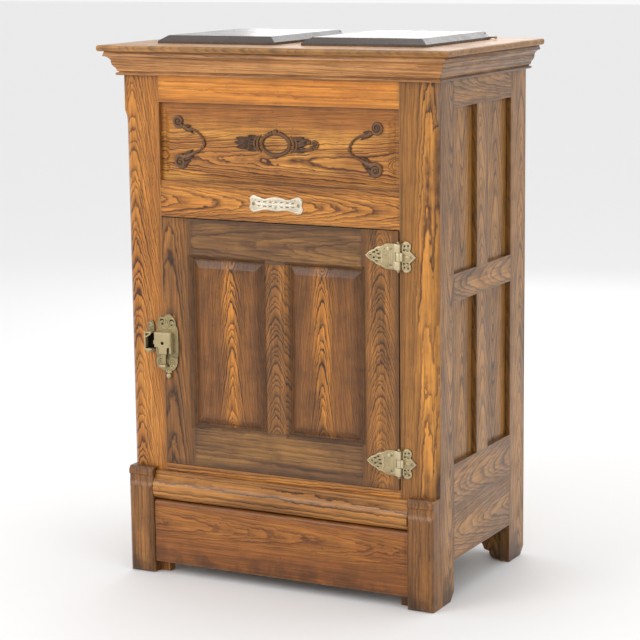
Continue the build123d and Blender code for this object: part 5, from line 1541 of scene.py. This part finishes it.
@dataclass
class Nameplate:
    """The cast plate on the middle rail, with a plain sprig in place of any lettering."""

    half: tuple = (
        (0, 14), (13, 12.6), (24, 9.8), (36, 12.8), (48, 16), (56, 10.5), (54.6, 0.5),
        (57, -8.5), (50, -16), (36, -13.5), (22, -10.6), (0, -12.6),
    )

    def build(self, nickel: bpy.types.Material) -> None:
        """Builds the plate.

        Args:
            nickel: The finish.
        """
        low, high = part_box("nameplate")
        thick = (high.y - low.y) / MM
        plate = Casting(Vector(((low.x + high.x) / 2, high.y, (low.z + high.z) / 2)), thick)
        outline = self.half + handed(tuple(reversed(self.half[1:-1])), -1)
        pits = tuple(
            ring(x, side * (4.6 - abs(x) * 0.02), 2.0 + 0.5 * (abs(x) % 5), 1)
            for x in range(-36, 37, 12) for side in (-1, 1)
        )
        plate.plate(outline, thick * 0.5, edge=0.3)
        plate.plate(outline, thick * 0.7, holes=pits, floor=thick * 0.3, edge=0.4)
        plate.rib(tuple((x * 0.93, y * 0.8) for x, y in outline), (0.7,), thick, closed=True)
        plate.rib(((-41, 0), (0, 0), (41, 0)), (0.9,), thick)
        for x in range(-30, 31, 12):
            for side in (-1, 1):
                plate.petal((x - 2, side * 0.8), (x + 4, side * 7), 1.7, 1.1, thick)
        plate.finish("maker_plate", "nameplate", nickel)


@dataclass
class Carving:
    """The applied ornaments of the ice chamber's front."""

    ground: float = 2.4
    centre_height: float = 0.857
    arm: tuple = (
        ((34, 8), (60, 14.5), 5.6), ((34, -8), (60, -14), 5.6), ((42, 0), (68, 3), 7),
        ((48, 7), (72, 10.5), 4.8), ((48, -7), (72, -10), 4.8),
    )
    knop_x: float = 154.0
    upper_eye: Point = (210, 894)
    upper_stem: tuple = ((199, 885), (190, 879.5), (177, 878), (164, 871), (154, 858.5))
    upper_leaves: tuple = (
        ((204, 888), (187, 873.5), 4.4), ((198, 886), (181, 885), 3.4),
        ((190, 879), (176, 870.5), 2.8),
    )
    lower_eye: Point = (207, 816)
    lower_stem: tuple = ((199, 826), (189, 829), (176, 834.5), (164, 840), (154, 847.5))
    lower_leaves: tuple = (
        ((205, 810), (184, 820), 5), ((201, 822), (178, 827), 4.6),
        ((196, 831), (178, 841), 3.6), ((208, 804), (192, 810), 4.2),
    )

    def build(self, finish: bpy.types.Material) -> None:
        """Builds the centre ornament and both corner scrolls.

        Args:
            finish: The finish of the carving.
        """
        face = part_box("centre_ornament")[1].y
        self.build_centre(Vector((0, face, self.centre_height)), finish)
        for name, side in (("left", -1), ("right", 1)):
            self.build_corner(name, side, Vector((0, face, 0)), finish)

    def build_centre(self, seat: Vector, finish: bpy.types.Material) -> None:
        """Builds the oval ring with its bead and its leafy arms.

        Args:
            seat: The middle of the ring.
            finish: The finish of the carving.
        """
        piece = Casting(seat, self.ground)
        piece.rib(ring(0, 0, 30, 20.5, 16), (3.1,), 1.8, closed=True)
        piece.rib(ring(0, 0, 26.6, 17.2, 16), (1.1,), 1.4, closed=True)
        piece.bead(0, 22, (5.4, 6, 5), 2)
        for side in (-1, 1):
            for x, wide in ((9, 2.6), (14, 1.9)):
                piece.bead(side * x, 22.4 - x * 0.16, (wide, wide * 1.3, 3.4), 2)
            for x, tall in ((33.5, 15.5), (40, 14)):
                bend = mirrored(((x - 3, tall), (x + 3, tall * 0.6), (x + 5, 0)), 1)
                piece.rib(handed(bend, side), (1.4, 2.4, 2.8, 2.4, 1.4), 2, flat=1.0)
            piece.petals(self.arm, 3.8, 1, side)
        for tip in ((-86, 9.5), (-90, 1), (-86, -8.5)):
            piece.petal((-60, tip[1] * 0.6), tip, 6, 3.8, 1)
        for x, y, size in ((70, 5.5, 5), (74, -4.5, 4.6)):
            piece.bead(x, y, (size, size * 0.8, 3.4), 1.4, 30)
        piece.volute(82.5, 0.5, 8, 150, -1, 1.4, 2.5, 1.8)
        piece.rib(((60, -8), (70, -8.5), (78, -7)), (2.2, 2.6, 2), 1.6)
        piece.finish("ring_ornament", "centre_ornament", finish)

    def build_corner(self, name: str, side: int, seat: Vector, finish: bpy.types.Material) -> None:
        """Builds one corner scroll: two volutes whose stems meet at a knop that points to the middle.

        Args:
            name: Which corner it is.
            side: -1 for the left one, 1 for the right one.
            seat: The foot of the object's middle line on the panel's face.
            finish: The finish of the carving.
        """
        piece = Casting(seat, self.ground)
        up, down = self.upper_eye, self.lower_eye
        for x, z, size in ((*up, 11), (*down, 12.5)):
            piece.bead(side * x, z, (size, size, 2.2), 0.6)
        piece.volute(side * up[0], up[1], 11.6, 90.0 + side * 130, side, 1.5, 3.5, 1.8)
        piece.rib(handed(self.upper_stem, side), (3.6, 3.4, 2.4, 2.2, 2.6), 1.8)
        piece.petals(self.upper_leaves, 3.4, 1.4, side)
        piece.bead(side * self.knop_x, 853, (3.8, 5, 3.8), 1.8)
        piece.volute(side * down[0], down[1], 13, 90.0 + side * 50, -side, 1.5, 3.8, 1.8)
        piece.rib(handed(self.lower_stem, side), (4, 4, 3, 2.2, 2.2), 1.8)
        piece.petals(self.lower_leaves, 3.4, 1.4, side)
        piece.finish(f"corner_scroll_{name}", "corner_ornaments", finish)


@dataclass
class Screws:
    """Slotted round-headed screws on the seats that the CAD's screws have."""

    head: float = 3.4
    rise: float = 1.8
    slot: float = 0.45
    shank: float = 1.5

    def build(self, steel: bpy.types.Material) -> None:
        """Builds one piece for the door's screws and one for the case's.

        Args:
            steel: The finish.
        """
        for node in ("door_screws", "case_screws"):
            whole = bmesh.new()
            for i, screw in enumerate(boards_of(node)):
                low, high = corners(v.co for v in screw.verts)
                screw.free()
                seat = Vector(((low.x + high.x) / 2, low.y + 1.2 * MM, (low.z + high.z) / 2))
                self.add_screw(whole, seat, high.y - seat.y, 40.0 + 37.0 * i)
            bmesh.ops.recalc_face_normals(whole, faces=whole.faces)
            mesh = made_mesh(whole, node)
            settle(mesh, f"{node}_slotted", node, steel)
            mesh.shade_smooth()
            mesh.set_sharp_from_angle(angle=math.radians(METAL_EDGE))

    def add_screw(self, whole: bmesh.types.BMesh, seat: Vector, deep: float, turn: float) -> None:
        """Adds one screw: a dome with a slot across it, on its shank.

        Args:
            whole: The mesh that it joins.
            seat: The middle of its head's underside.
            deep: The length of its shank.
            turn: The direction of its slot, in degrees.
        """
        head = bmesh.new()
        bmesh.ops.create_uvsphere(head, u_segments=20, v_segments=12, radius=self.head)
        cuts = [((0, 0, 0), (0, 0, -1), True)]
        for offset in (-self.slot - 0.15, -self.slot, self.slot, self.slot + 0.15):
            cuts.append(((0, offset, 0), (0, 1, 0), False))
        for point, normal, clear in cuts:
            geometry = head.verts[:] + head.edges[:] + head.faces[:]
            bmesh.ops.bisect_plane(
                head, geom=geometry, dist=1e-5, plane_co=point, plane_no=normal, clear_outer=clear
            )
        for v in head.verts:
            v.co.z *= self.rise / self.head
            if abs(v.co.y) < self.slot + 0.01:
                v.co.z = min(v.co.z, self.rise * 0.35)
        rim = [e for e in head.edges if e.is_boundary]
        bmesh.ops.holes_fill(head, edges=rim)
        bmesh.ops.create_cone(
            head, cap_ends=True, segments=12, radius1=self.shank, radius2=self.shank, depth=deep / MM,
            matrix=Matrix.Translation((0, 0, -deep / MM / 2)),
        )
        place = Matrix.Translation(seat) @ UPRIGHT @ Matrix.Rotation(math.radians(turn), 4, "Z")
        bmesh.ops.transform(head, matrix=place @ Matrix.Scale(MM, 4), verts=head.verts)
        mesh = made_mesh(head, "screw")
        whole.from_mesh(mesh)
        bpy.data.meshes.remove(mesh)


@dataclass
class Ironwork:
    """All the metal fittings and the carving."""

    def build(self) -> None:
        """Builds and dresses the fittings."""
        brass = AGED_BRASS.dress("aged_brass")
        steel = PIN_STEEL.dress("pin_steel")
        cast = CAST_BRASS.dress("cast_brass")
        DoorHinges().build(cast)
        shadow = SHADOWED_BRASS.dress("shadowed_brass")
        Latch().build(DARK_BRASS.dress("dark_brass"), shadow)
        Nameplate().build(PLATE_NICKEL.dress("plate_nickel"))
        Carving().build(CARVED.dress("carved"))
        Screws().build(steel)
        Parts(("lid_hinge_bases", "lid_hinge_leaves_left", "lid_hinge_leaves_right"), brass).build()
        Parts(("hinge_pins", "flap_pins"), steel, 0).build()
        Parts(("latch_pivot",), shadow, 0).build()


def main() -> None:
    """Builds the whole icebox."""
    logging.basicConfig(level=logging.INFO, format="%(message)s")
    Studio().build()
    FrontFrame().build()
    Door().build()
    SideWall("left", Facing.LEFT).build()
    SideWall("right", Facing.RIGHT).build()
    Base().build()
    Top().build()
    Inside().build()
    Ironwork().build()


if __name__ == "__main__":
    main()
